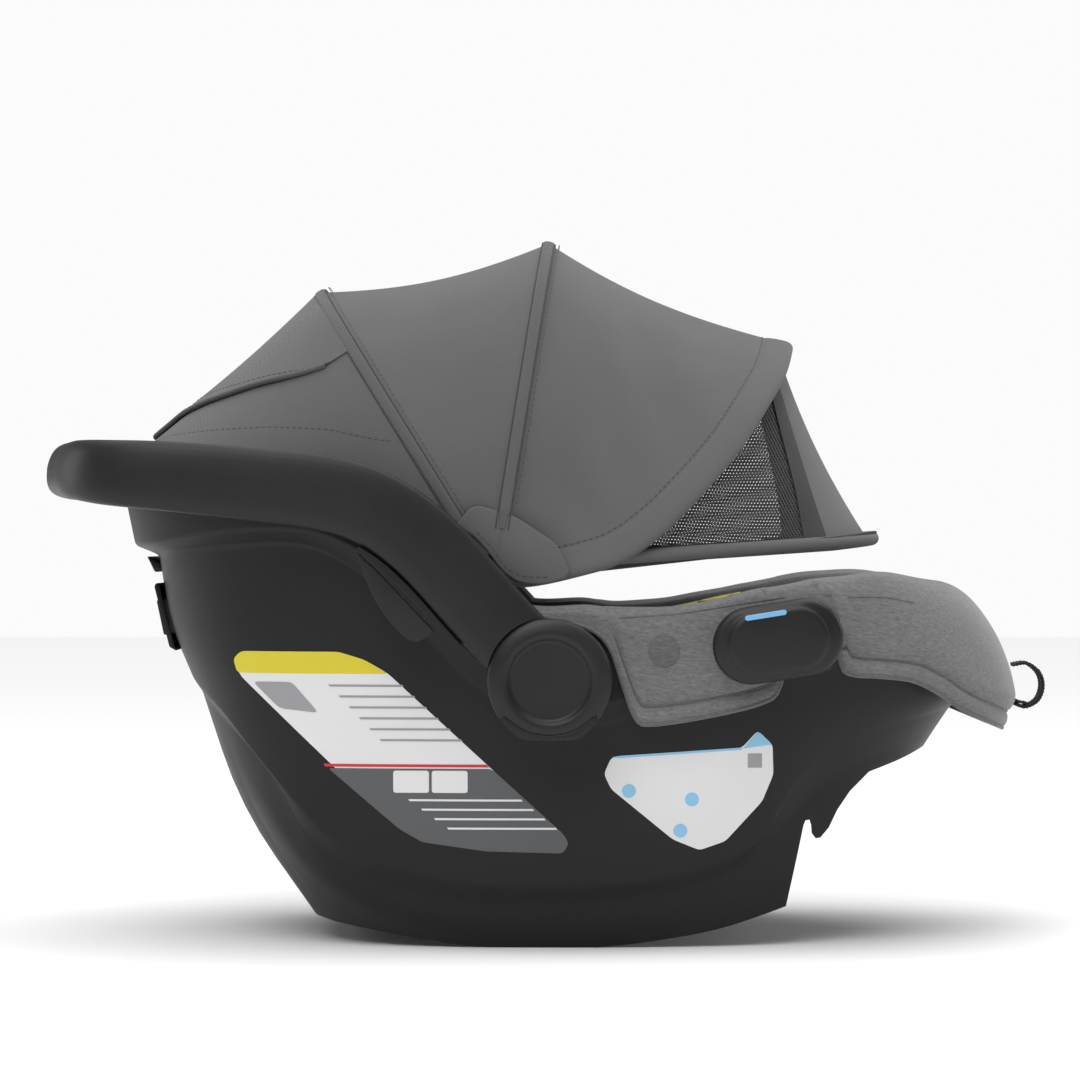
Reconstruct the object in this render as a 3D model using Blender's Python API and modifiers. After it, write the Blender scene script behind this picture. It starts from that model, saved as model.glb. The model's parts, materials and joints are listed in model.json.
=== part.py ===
"""Infant car seat carrier with a swinging handle, folding canopy and harness.

Frame: +X to the foot end, +Y to the child's left, +Z up, floor at Z 0.
Design values are in millimetres and become metres when a mesh is made.
"""
import math

import bmesh
import bpy
import numpy as np
from mathutils import Matrix, Vector

MM = 0.001
SIDES = {"left": 1, "right": -1}
PLAN_POWER = 3.5  # squareness of the plan outline
MIDDLE_X = 4.5  # middle of the length, in the coordinates the driving points are given in

# Driving points in side view, as (x, z).
HUB = (6.5, 190.0)
CANOPY_PIVOT = (-32.0, 260.0)
BELT_GUIDE = (164.0, 217.0)
BELT_GUIDE_TILT = math.radians(9)
LATCH_SHAFT = (-96.0, 40.0)

# Lateral stack at the hub, from the centre plane out.
BOSS_Y = (187.6, 196.0)
ARM_Y = (196.5, 217.0)
CAP_Y = (212.4, 219.6)
HUB_R = 43.0
PIN_R = 9.0
CRESCENT = [  # from the hub centre, in side view
    (-31.5, -22.9), (-26, -27.8), (-13.9, -34.7), (0, -36.8), (13.9, -34.7), (26, -27.8), (31.5, -22.9),
    (32.8, -28), (26, -35.5), (15.6, -41), (-15.6, -41), (-26, -35.5), (-32.8, -28),
]
RUNNING_GAP = 0.4

SHELL_WALL = 4.0
FOAM = (2.0, 9.0)  # distance from the tub, thickness
PAD = (12.5, 14.0)

RIM_LINE = [
    (-306, 335), (-250, 333), (-180, 320), (-120, 292), (-70, 258), (-32, 243), (0, 236), (30, 229),
    (60, 224), (100, 226), (142, 235), (186, 243), (215, 247), (250, 250), (300, 243),
]
BAND_TOP_LINE = [
    (-295, 283), (-228, 292), (-177, 294), (-150, 290), (-120, 276), (-95, 257), (-58, 217), (-30, 192),
    (0, 176), (40, 173), (63, 176), (130, 190), (193, 204), (250, 213), (322, 214),
]
PANEL_TOP_LINE = [
    (-278, 272), (-228, 277), (-180, 280), (-152, 275), (-126, 260), (-104, 242), (-65, 201), (-37, 177),
    (0, 160), (40, 158), (63, 165), (130, 182), (193, 196), (250, 200), (326, 190),
]
PANEL_MID_LINE = [
    (-270, 226), (-215, 215), (-150, 175), (-90, 135), (-38, 108), (35, 100), (110, 118), (170, 150),
    (210, 168), (320, 180),
]
PANEL_FOOT_LINE = [
    (-254, 190), (-227, 166), (-202, 136), (-166, 96), (-145, 76), (-116, 60), (-82, 52), (-38, 45),
    (35, 45), (95, 52), (131, 63), (155, 80), (172, 107), (190, 130), (208, 143), (237, 153), (300, 168),
]
SKIRT_TOP_LINE = [
    (-248, 182), (-196, 131), (-167, 85), (-138, 61), (-91, 43), (-38, 35), (35, 35), (107, 46),
    (144, 62), (167, 82), (189, 107), (209, 122), (252, 139), (288, 150),
]
SKIRT_MID_LINE = [(-206, 92), (-160, 48), (-110, 27), (-38, 18), (35, 18), (110, 27), (160, 48), (268, 120)]
ROCKER_LINE = [
    (-157, 16), (-120, 11), (-86, 6), (-45, 0.6), (0, 0), (45, 0.6), (108, 9), (156, 22), (240, 52),
]
# Back end, front end, half width and side-view line of each level of the outside, from the floor up.
OUTER_LEVELS = [
    (-157, 240, 146, ROCKER_LINE),
    (-206, 268, 154, SKIRT_MID_LINE),
    (-248, 288, 157, SKIRT_TOP_LINE),
    (-254, 300, 166, PANEL_FOOT_LINE),
    (-270, 320, 173, PANEL_MID_LINE),
    (-278, 326, 177, PANEL_TOP_LINE),
    (-295, 322, 187, BAND_TOP_LINE),
    (-306, 300, 183, RIM_LINE),
]
TUB_RIM = (-294, 288, 171)
TUB_FLOOR = (-30, 110, 105, 62)

# The front of the skirts: a raked edge, the slot for the base's bar, its hook, and the curve to the toe.
FRONT_CUT = [
    (174, -30), (174, 28.6), (185.6, 86), (187, 89.5), (190, 90), (191.3, 86), (191.8, 80), (194.5, 76.5),
    (198, 77), (204, 86), (209.5, 100.7), (218, 114.8), (232, 128.8), (253, 138.7), (272, 146), (280, 148),
    (296, 166), (420, 166), (420, -30),
]

# Lower edge of the seat cover where it is folded out over the rim.
COVER_EDGE_LINE = [
    (-7, 234), (6, 233), (24, 229.5), (41, 221), (50, 209), (57, 188), (66, 164), (77, 159), (118, 165),
    (154, 174), (166, 184), (172, 214), (186, 224), (205, 221), (210, 198), (219, 193), (234, 192),
    (259, 189), (277, 181), (299, 167), (335, 151),
]
# Back end is unused: (front end, half width, share of the way from the rim to the lower edge, lift).
COVER_LEVELS = [
    (283, 168.5, 0.0, 2.2), (303, 184.8, 0.0, 3.4), (321, 188.8, 0.16, 0), (336, 189.4, 0.46, 0),
    (343, 189.8, 0.72, 0), (334, 190, 1.0, 0),
]
COVER_START_X = -7.0
COVER_COLUMNS = 49
COVER_THICK = 3.6

# Handle: centre line, depth across the arm in side view, and lateral thickness.
ARM_MID_Y = (ARM_Y[0] + ARM_Y[1]) / 2
HANDLE_PATH = [
    (6.5, ARM_MID_Y, 190), (-36, ARM_MID_Y, 236), (-78, ARM_MID_Y, 282), (-112, ARM_MID_Y, 307),
    (-147, ARM_MID_Y, 319), (-205, ARM_MID_Y, 326), (-258, ARM_MID_Y - 2, 331), (-298, ARM_MID_Y - 14, 334.5),
    (-327, ARM_MID_Y - 40, 337.5), (-341, ARM_MID_Y - 77, 339), (-344, ARM_MID_Y - 130, 340), (-344, 0, 340),
]
HANDLE_DEPTH = [54, 54, 54, 53, 52, 50, 48, 46, 44, 42, 41, 41]
HANDLE_THICK = [20.5, 20.5, 20.5, 20.5, 20.5, 20.6, 22, 26, 32, 35, 37, 37]

# Canopy bows: tilt from +X, reach from the pivot, half width.
BOW_POWER = 2.8
BOWS = {"rear": (121.8, 244.6, 180.4), "mid": (81.0, 247.2, 184.0), "sunshade": (6.3, 280.4, 173.0)}
BOW_STRIP = (6.0, 1.8)  # width along the fold, thickness
FRONT_BOW_PATH = [
    (-32, 177, 260), (-8, 177, 258), (29, 176.5, 266), (56, 175.5, 275), (83, 172, 294), (109, 165, 320),
    (136, 148, 351), (155, 124, 379), (170, 88, 406), (179, 42, 428), (181, 0, 433),
]
FABRIC = 1.2
CANOPY_LIFT = 4.9  # from a bow's centre line to the fabric over it

BACK_TOP = Vector((-275.0, 0, 354.0))  # on the face of the pad, at the head end
BACK_DOWN = Vector((0.698, 0, -0.716))
BACK_OUT = Vector((0.716, 0, 0.698))

FINISHES = {  # base colour, roughness, metallic
    "shell_plastic": ((0.022, 0.022, 0.023), 0.55, 0.0),
    "trim_plastic": ((0.03, 0.03, 0.031), 0.5, 0.0),
    "blue_plastic": ((0.2, 0.47, 0.75), 0.45, 0.0),
    "red_plastic": ((0.55, 0.03, 0.03), 0.4, 0.0),
    "steel": ((0.6, 0.6, 0.62), 0.3, 1.0),
    "foam": ((0.08, 0.08, 0.085), 0.9, 0.0),
    "heather_fabric": ((0.15, 0.15, 0.155), 0.95, 0.0),
    "canopy_fabric": ((0.14, 0.14, 0.14), 0.9, 0.0),
    "webbing": ((0.02, 0.02, 0.021), 0.85, 0.0),
}


# ---------------------------------------------------------------- scene and mesh helpers

def start_scene():
    """Empties the scene and makes the two collections."""
    for old in list(bpy.data.objects):
        bpy.data.objects.remove(old)
    made = {}
    for name in ("infant_car_seat", "cutters"):
        made[name] = bpy.data.collections.new(name)
        bpy.context.scene.collection.children.link(made[name])
    return made


COLLECTIONS = start_scene()


def own_material(name, finish):
    """A piece's own Principled material in one of the finishes."""
    colour, roughness, metallic = FINISHES[finish]
    material = bpy.data.materials.new(f"{name}_{finish}")
    material.use_nodes = True
    shader = material.node_tree.nodes["Principled BSDF"]
    shader.inputs["Base Color"].default_value = (*colour, 1)
    shader.inputs["Roughness"].default_value = roughness
    shader.inputs["Metallic"].default_value = metallic
    return material


def place(name, data, finish, cutter=False):
    """Links data as an object in its collection."""
    made = bpy.data.objects.new(name, data)
    COLLECTIONS["cutters" if cutter else "infant_car_seat"].objects.link(made)
    if cutter:
        made.hide_render = True
        made.display_type = "WIRE"
    else:
        data.materials.append(own_material(name, finish))
    return made


def mesh_object(name, points, faces, finish=None, cutter=False, smooth=True):
    """A mesh from points in millimetres."""
    mesh = bpy.data.meshes.new(name)
    mesh.from_pydata([Vector(p) * MM for p in points], [], faces)
    mesh.update()
    if smooth:
        mesh.shade_smooth()
        mesh.set_sharp_from_angle(angle=math.radians(40))
    return place(name, mesh, finish, cutter)


def from_bmesh(name, bm, finish=None, cutter=False):
    """A mesh object from a bmesh already in metres."""
    bmesh.ops.recalc_face_normals(bm, faces=bm.faces)
    mesh = bpy.data.meshes.new(name)
    bm.to_mesh(mesh)
    bm.free()
    mesh.shade_smooth()
    mesh.set_sharp_from_angle(angle=math.radians(40))
    return place(name, mesh, finish, cutter)


def solidify(obj, thickness, side):
    """Gives an open surface its thickness, on the side of its normals (+1) or behind it (-1)."""
    modifier = obj.modifiers.new("Wall", "SOLIDIFY")
    modifier.thickness = thickness * MM
    modifier.offset = side
    modifier.use_even_offset = True
    modifier.use_quality_normals = True


def bevel(obj, width, segments=2):
    """Rounds the sharp edges."""
    modifier = obj.modifiers.new("Round", "BEVEL")
    modifier.width = width * MM
    modifier.segments = segments
    modifier.limit_method = "ANGLE"
    modifier.angle_limit = math.radians(35)


def boolean(obj, other, operation="DIFFERENCE"):
    """Cuts other from obj, or joins it."""
    modifier = obj.modifiers.new(operation.title(), "BOOLEAN")
    modifier.object = other
    modifier.operation = operation
    modifier.solver = "EXACT"


def smooth_line(points, count):
    """Count points along a Catmull-Rom curve through the given ones, evenly in their index."""
    p = np.array(points, float)
    p = np.vstack([2 * p[0] - p[1], p, 2 * p[-1] - p[-2]])
    found = []
    for t in np.linspace(0, len(points) - 1, count):
        i = min(int(t), len(points) - 2)
        u = t - i
        a, b, c, d = p[i], p[i + 1], p[i + 2], p[i + 3]
        found.append(0.5 * (2 * b + (c - a) * u + (2 * a - 5 * b + 4 * c - d) * u**2
                            + (3 * b - a - 3 * c + d) * u**3))
    return np.array(found)


def height_on(line, x):
    """Height of a side-view line at x, level beyond its ends."""
    fine = smooth_line(line, 12 * len(line))
    return float(np.interp(x, np.maximum.accumulate(fine[:, 0]), fine[:, 1]))


def plan_point(back, front, half_width, angle):
    """Point of the plan outline at an angle: 0 is the foot end, 90 degrees the child's left."""
    c, s = math.cos(angle), math.sin(angle)
    k = (abs(c) ** PLAN_POWER + abs(s) ** PLAN_POWER) ** (-1 / PLAN_POWER)
    return (back + front) / 2 + (front - back) / 2 * c * k, half_width * s * k


def level_ring(level, angles):
    """One level of the outside as 3D points."""
    back, front, half_width, line = level
    ring = []
    for angle in angles:
        x, y = plan_point(back, front, half_width, angle)
        ring.append((x, y, height_on(line, x)))
    return ring


def full_turn(count):
    """Evenly spaced angles round the object."""
    return [2 * math.pi * i / count for i in range(count)]


def loft_faces(rows, columns, closed):
    """Quads between rows of points. Closed rows join their last point to their first."""
    faces = []
    for r in range(rows - 1):
        for c in range(columns if closed else columns - 1):
            d = (c + 1) % columns
            a, b = r * columns, (r + 1) * columns
            faces.append((a + c, a + d, b + d, b + c))
    return faces


def tub_ring(share, gap, angles):
    """Ring of the tub's lining: share 0 at the rim, 1 at the floor, moved into the tub by gap."""
    back, front, half_width = TUB_RIM
    floor_back, floor_front, floor_half, floor_z = TUB_FLOOR
    ring = []
    for angle in angles:
        x0, y0 = plan_point(back + 1.4 * gap, front - 1.4 * gap, half_width - gap, angle)
        x1, y1 = plan_point(floor_back + 0.5 * gap, floor_front - 0.5 * gap, floor_half - gap, angle)
        z0, z1 = height_on(RIM_LINE, x0), floor_z + gap
        ring.append((x0 + (x1 - x0) * share, y0 + (y1 - y0) * share**2.2, z0 + (z1 - z0) * share))
    return ring


def open_bowl(name, rings, finish):
    """Loft of closed rings, closed at the last one by a fan."""
    columns = len(rings[0])
    points = [p for ring in rings for p in ring]
    centre = np.mean(rings[-1], axis=0)
    faces = loft_faces(len(rings), columns, True)
    points.append(tuple(centre))
    last = (len(rings) - 1) * columns
    faces += [(last + c, last + (c + 1) % columns, len(points) - 1) for c in range(columns)]
    return mesh_object(name, points, faces, finish)


def swept(name, stations, finish, ends=True):
    """Loft through closed sections given as lists of points, with flat ends."""
    columns = len(stations[0])
    bm = bmesh.new()
    rows = [[bm.verts.new(Vector(p) * MM) for p in station] for station in stations]
    for r in range(len(rows) - 1):
        for c in range(columns):
            d = (c + 1) % columns
            bm.faces.new((rows[r][c], rows[r][d], rows[r + 1][d], rows[r + 1][c]))
    if ends:
        bm.faces.new(list(reversed(rows[0])))
        bm.faces.new(rows[-1])
    return from_bmesh(name, bm, finish)


def strip(name, path, wide, width, thickness, finish):
    """Flat strip along a path. wide gives the direction of its width at each point."""
    p = [Vector(q) for q in path]
    stations = []
    for i, q in enumerate(p):
        along = (p[min(i + 1, len(p) - 1)] - p[max(i - 1, 0)]).normalized()
        across = Vector(wide[i]) if isinstance(wide, list) else Vector(wide)
        across = (across - across.dot(along) * along).normalized()
        up = along.cross(across)
        stations.append([q + across * (width / 2 * a) + up * (thickness / 2 * b)
                         for a, b in ((-1, -1), (1, -1), (1, 1), (-1, 1))])
    return swept(name, stations, finish)


def prism_y(name, outline, y0, y1, finish=None, cutter=False):
    """Side-view outline of (x, z) points, made solid from y0 to y1."""
    bm = bmesh.new()
    near = [bm.verts.new(Vector((x, y0, z)) * MM) for x, z in outline]
    face = bm.faces.new(near)
    grown = bmesh.ops.extrude_face_region(bm, geom=[face])
    moved = [v for v in grown["geom"] if isinstance(v, bmesh.types.BMVert)]
    bmesh.ops.translate(bm, verts=moved, vec=Vector((0, y1 - y0, 0)) * MM)
    return from_bmesh(name, bm, finish, cutter)


def disc_y(name, centre, radius, y0, y1, finish=None, cutter=False, segments=36, taper=1.0):
    """Cylinder or cone across the object, at a side-view centre."""
    bm = bmesh.new()
    bmesh.ops.create_cone(bm, cap_ends=True, segments=segments, radius1=radius * MM,
                          radius2=radius * taper * MM, depth=abs(y1 - y0) * MM)
    turn = Matrix.Rotation(math.radians(-90 if y1 > y0 else 90), 4, "X")
    middle = Vector((centre[0], (y0 + y1) / 2, centre[1])) * MM
    bmesh.ops.transform(bm, matrix=Matrix.Translation(middle) @ turn, verts=bm.verts)
    return from_bmesh(name, bm, finish, cutter)


def box(name, middle, size, turn, finish=None, cutter=False, round_off=0.0):
    """Box at a point, turned by a matrix."""
    bm = bmesh.new()
    bmesh.ops.create_cube(bm, size=1)
    shape = Matrix.Diagonal((*[s * MM for s in size], 1))
    bmesh.ops.transform(bm, matrix=Matrix.Translation(Vector(middle) * MM) @ turn.to_4x4() @ shape,
                        verts=bm.verts)
    made = from_bmesh(name, bm, finish, cutter)
    if round_off:
        bevel(made, round_off)
    return made


def turned_y(name, centre, profile, side, finish):
    """Turned piece about the lateral axis: profile of (radius, distance from the centre plane), inner end first."""
    mesh = bpy.data.meshes.new(name)
    mesh.from_pydata([Vector((r, side * y, 0)) * MM for r, y in profile], [(i, i + 1) for i in range(len(profile) - 1)], [])
    made = place(name, mesh, finish)
    made.location = Vector((centre[0], 0, centre[1])) * MM
    modifier = made.modifiers.new("Turn", "SCREW")
    modifier.axis = "Y"
    modifier.angle = 2 * math.pi
    modifier.steps = modifier.render_steps = 36
    modifier.use_merge_vertices = True
    modifier.merge_threshold = 0.00001
    modifier.use_normal_calculate = True
    modifier.use_smooth_shade = True
    return made


def stadium(centre, length, width, tilt, per_end=9):
    """Outline of a bar with round ends, as (x, z)."""
    outline = []
    for sign in (1, -1):
        for i in range(per_end):
            a = tilt + math.pi * (i / (per_end - 1) - 0.5) + (0 if sign > 0 else math.pi)
            offset = sign * (length - width) / 2
            outline.append((centre[0] + offset * math.cos(tilt) + width / 2 * math.cos(a),
                            centre[1] + offset * math.sin(tilt) + width / 2 * math.sin(a)))
    return outline


# ---------------------------------------------------------------- carrier

def build_shell():
    """Outer skirts, panels, rim and tub as one moulded skin, open underneath."""
    angles = full_turn(44)
    rings = [level_ring(level, angles) for level in OUTER_LEVELS]
    rings += [tub_ring(share, 0, angles) for share in (0, 0.06, 0.3, 0.55, 0.8, 1)]
    shell = open_bowl("shell", rings, "shell_plastic")
    solidify(shell, SHELL_WALL, -1)
    cut = prism_y("front_cut", FRONT_CUT, -260, 260, cutter=True)
    boolean(shell, cut)


def build_linings():
    """Foam liner in the tub and the padded seat cover on it."""
    angles = full_turn(36)
    for name, (gap, thickness), finish, first in (
        ("foam_liner", FOAM, "foam", 0.05), ("seat_pad", PAD, "heather_fabric", 0.0),
    ):
        rings = [tub_ring(share, gap, angles) for share in (first, 0.3, 0.55, 0.8, 1)]
        solidify(open_bowl(name, rings, finish), thickness, 1)


def build_cover_rim():
    """The part of the cover folded out over the rim, from one hub round the foot end to the other."""
    back = TUB_RIM[0]
    rows = []
    for front, half_width, share, lift in COVER_LEVELS:
        middle, reach = (back + front) / 2, (front - back) / 2
        start = math.acos(max(-1, (COVER_START_X - middle) / reach))
        angles = np.linspace(-start, start, COVER_COLUMNS)
        row = []
        for angle in angles:
            x, y = plan_point(back, front, half_width, angle)
            top = height_on(RIM_LINE, x)
            edge = min(height_on(COVER_EDGE_LINE, x), top - 2)
            row.append((x, y, top + (edge - top) * share + lift))
        rows.append(row)
    points = [p for row in reversed(rows) for p in row]
    cover = mesh_object("seat_cover_rim", points, loft_faces(len(rows), COVER_COLUMNS, False), "heather_fabric")
    solidify(cover, COVER_THICK, 1)


def build_belt_guide(side_name, side):
    """Capsule-shaped lap belt guide on its stem, with the coloured belt-path mark."""
    outline = stadium(BELT_GUIDE, 90, 53, BELT_GUIDE_TILT)
    guide = prism_y(f"belt_guide_{side_name}", outline, side * 203, side * 217, "trim_plastic")
    bevel(guide, 4.5)
    stem = box(f"belt_guide_stem_{side_name}", (188, side * 193, 203), (24, 22, 14),
               Matrix.Rotation(-BELT_GUIDE_TILT, 3, "Y"), cutter=True)
    boolean(guide, stem, "UNION")
    up = Vector((-math.sin(BELT_GUIDE_TILT), 0, math.cos(BELT_GUIDE_TILT)))
    middle = Vector((BELT_GUIDE[0], side * 218.1, BELT_GUIDE[1])) + up * 18.5 + Vector((-6, 0, 0))
    box(f"belt_mark_{side_name}", middle, (29, 1.4, 3.4), Matrix.Rotation(-BELT_GUIDE_TILT, 3, "Y"),
        "blue_plastic")


def build_hub(side_name, side):
    """Boss, pivot pin, lock ring and cap of one handle hub."""
    boss = disc_y(f"hub_boss_{side_name}", HUB, 38, side * BOSS_Y[0], side * BOSS_Y[1], "shell_plastic")
    bore = disc_y(f"boss_bore_{side_name}", HUB, PIN_R + RUNNING_GAP, side * 180, side * 200, cutter=True)
    boolean(boss, bore)
    disc_y(f"pivot_pin_{side_name}", HUB, PIN_R, side * (BOSS_Y[0] + 0.4), side * (CAP_Y[0] - 0.4), "steel")
    teeth = 16
    ring = []
    for i in range(teeth * 4):
        r = 27.0 if i % 4 in (1, 2) else 24.0
        a = 2 * math.pi * (i + 0.5) / (teeth * 4)
        ring.append((HUB[0] + r * math.cos(a), HUB[1] + r * math.sin(a)))
    lock = prism_y(f"lock_ring_{side_name}", ring, side * (ARM_Y[0] + 0.6), side * (ARM_Y[0] + 5.6), "steel")
    hole = disc_y(f"lock_bore_{side_name}", HUB, PIN_R + RUNNING_GAP, side * 190, side * 210, cutter=True)
    boolean(lock, hole)
    profile = [
        (0, CAP_Y[0]), (HUB_R - 1, CAP_Y[0]), (HUB_R, CAP_Y[0] + 1), (HUB_R - 2.2, CAP_Y[1] - 1.6),
        (HUB_R - 7.5, CAP_Y[1]), (30, CAP_Y[1]), (26.5, CAP_Y[1] - 3.2), (0, CAP_Y[1] - 3.4),
    ]
    cap = turned_y(f"hub_cap_{side_name}", HUB, profile, side, "trim_plastic")
    crescent = [(HUB[0] + x, HUB[1] + z) for x, z in CRESCENT]
    face = CAP_Y[1] - 0.2
    recess = prism_y(f"crescent_recess_{side_name}", crescent, side * (CAP_Y[0] + 2.2), side * (face + 4), cutter=True)
    boolean(cap, recess)
    drop = [-1.4] + [-0.4] * 5 + [-1.4] + [0.35] * 6
    inner = [(HUB[0] + x * 0.985, HUB[1] + z + d) for (x, z), d in zip(CRESCENT, drop)]
    bevel(prism_y(f"hub_crescent_{side_name}", inner, side * (CAP_Y[0] + 2.6), side * face, "trim_plastic"), 0.6, 1)


def build_rear_fittings():
    """Shoulder belt guide plate and the release lever under the rim."""
    plate = [(-288, 253.5), (-286.5, 256), (-284.5, 255.5), (-274.6, 212), (-272.5, 206.5), (-278, 209.5)]
    guide = prism_y("shoulder_belt_guide", plate, -64, 64, "shell_plastic")
    for y in (-58, 58):
        lug = box(f"guide_lug_{y}", (-278, y, 232), (13, 10, 26), Matrix.Rotation(math.radians(-12), 3, "Y"),
                  cutter=True)
        boolean(guide, lug, "UNION")
    lever = [(-292, 275.5), (-281, 269), (-280.5, 264.5), (-286, 263.5)]
    prism_y("base_release_lever", lever, -52, 52, "trim_plastic")


def build_base_latch():
    """Cross shaft, claws and return spring under the back of the tub."""
    x, z = LATCH_SHAFT
    disc_y("latch_shaft", LATCH_SHAFT, 4, -136, 136, "steel", segments=20)
    claws = disc_y("latch_claws", LATCH_SHAFT, 8.5, -48, 48, "steel", segments=24)
    for y in (-44, 38):
        outline = [(x - 7, z + 2), (x + 6, z + 2), (x + 9, z - 14), (x + 20, z - 18), (x + 18, z - 25),
                   (x + 2, z - 23), (x - 5, z - 14)]
        claw = prism_y(f"claw_{y}", outline, y, y + 6, cutter=True)
        boolean(claws, claw, "UNION")
    bore = disc_y("latch_bore", LATCH_SHAFT, 4 + RUNNING_GAP, -60, 60, cutter=True, segments=20)
    boolean(claws, bore)
    turns, per_turn, wire = 5, 10, 0.8
    curve = bpy.data.curves.new("latch_spring", "CURVE")
    curve.dimensions = "3D"
    curve.bevel_depth = wire * MM
    curve.bevel_resolution = 1
    curve.use_fill_caps = True
    spline = curve.splines.new("POLY")
    spline.points.add(turns * per_turn)
    for i, point in enumerate(spline.points):
        a = 2 * math.pi * i / per_turn
        point.co = (*[v * MM for v in (x + 6.2 * math.cos(a), 54 + 2.2 * i / per_turn, z + 6.2 * math.sin(a))], 1)
    place("latch_spring", curve, "steel")


# ---------------------------------------------------------------- handle

def rounded_section(centre, along, deep, depth, thickness, corners=12):
    """Closed section of a bar: deep is the direction of its depth."""
    across = along.cross(deep).normalized()
    section = []
    for i in range(corners):
        a = 2 * math.pi * (i + 0.5) / corners
        k = (abs(math.cos(a)) ** 4 + abs(math.sin(a)) ** 4) ** -0.25
        section.append(centre + deep * (depth / 2 * k * math.cos(a)) + across * (thickness / 2 * k * math.sin(a)))
    return section


def build_handle():
    """Both arms and the grip as one bar, with a disc at each hub."""
    half = len(HANDLE_PATH)
    rows = [(*p, d, t) for p, d, t in zip(HANDLE_PATH, HANDLE_DEPTH, HANDLE_THICK)]
    fine = smooth_line(rows, 2 * half + 1)
    other = fine[-2::-1].copy()
    other[:, 1] *= -1
    whole = np.vstack([fine, other])
    stations = []
    deep = Vector((0.734, 0, 0.679))
    for i, row in enumerate(whole):
        before, after = whole[max(i - 1, 0)], whole[min(i + 1, len(whole) - 1)]
        along = Vector(after[:3] - before[:3]).normalized()
        deep = (deep - deep.dot(along) * along).normalized()
        stations.append(rounded_section(Vector(row[:3]), along, deep, row[3], row[4]))
    handle = swept("handle", stations, "trim_plastic")
    for side_name, side in SIDES.items():
        disc = disc_y(f"arm_disc_{side_name}", HUB, HUB_R - 0.5, side * (ARM_Y[0] + 0.05), side * (ARM_Y[1] - 3),
                      cutter=True)
        boolean(handle, disc, "UNION")
        seat = disc_y(f"cap_seat_{side_name}", HUB, HUB_R + 0.7, side * (CAP_Y[0] - RUNNING_GAP), side * 230,
                      cutter=True, segments=48)
        boolean(handle, seat)
        pocket = disc_y(f"arm_pocket_{side_name}", HUB, 30, side * (ARM_Y[0] - 5), side * (ARM_Y[0] + 6.4),
                        cutter=True)
        boolean(handle, pocket)
        bore = disc_y(f"arm_bore_{side_name}", HUB, PIN_R + RUNNING_GAP, side * 190, side * 225, cutter=True)
        boolean(handle, bore)


def beside_arm(share, drop):
    """Side-view point below the arm: share runs along its centre line, drop is the distance from it."""
    fine = smooth_line([(x, z) for x, _, z in HANDLE_PATH[:7]], 121)
    i = int(round(share * 120))
    along = fine[min(i + 1, 120)] - fine[max(i - 1, 0)]
    along = along / np.hypot(*along)
    return fine[i][0] - along[1] * drop, fine[i][1] + along[0] * drop


def build_arm_fittings(side_name, side):
    """Trim strip under the arm and the release trigger that slides along it."""
    upper = [beside_arm(f, 27.6) for f in (0.155, 0.2, 0.25, 0.3, 0.35, 0.4, 0.45, 0.5)]
    lower = [beside_arm(f, d) for f, d in ((0.5, 29), (0.45, 33), (0.4, 33.4), (0.35, 33.6), (0.3, 33.6),
                                           (0.25, 33.6), (0.2, 33.6), (0.16, 32.4))]
    prism_y(f"arm_trim_{side_name}", upper + lower, side * 199, side * 214, "shell_plastic")
    start, end = beside_arm(0.21, 35.6), beside_arm(0.385, 35.6)
    along = Vector((end[0] - start[0], end[1] - start[1])).normalized()
    drop = Vector((-along.y, along.x))
    outline = [Vector(start) + along * a + drop * d for a, d in (
        (0, 0), (70, 0), (67, 5), (47, 13), (16, 17.5), (5, 15.5), (0, 9))]
    trigger = prism_y(f"release_trigger_{side_name}", outline, side * 200, side * 212, "trim_plastic")
    bevel(trigger, 1.5)


# ---------------------------------------------------------------- canopy

def bow_curve(tilt, reach, half_width, count, start=0.0):
    """Points of a planar bow from the right leg over the top to the left one."""
    x0, z0 = CANOPY_PIVOT
    found = []
    for i in range(count):
        a = math.pi * (start + (1 - 2 * start) * i / (count - 1))
        c, s = math.cos(a), math.sin(a)
        k = (abs(c) ** BOW_POWER + abs(s) ** BOW_POWER) ** (-1 / BOW_POWER)
        r = reach * s * k
        found.append(Vector((x0 + r * math.cos(math.radians(tilt)), -half_width * c * k,
                             z0 + r * math.sin(math.radians(tilt)))))
    return found


def front_bow_curve(count):
    """Points of the front bow, whose legs run forward before they rise."""
    half = smooth_line([(x, -y, z) for x, y, z in FRONT_BOW_PATH], (count + 1) // 2)
    other = half[-2::-1].copy()
    other[:, 1] *= -1
    return [Vector(p) for p in np.vstack([half, other])]


def bow_points(name, count, start=0.0):
    """Points of any bow by name, leaving out the start share of each leg."""
    if name != "front":
        return bow_curve(*BOWS[name], count, start)
    fine = front_bow_curve(201)
    return [fine[int(round(200 * (start + (1 - 2 * start) * i / (count - 1))))] for i in range(count)]


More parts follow.
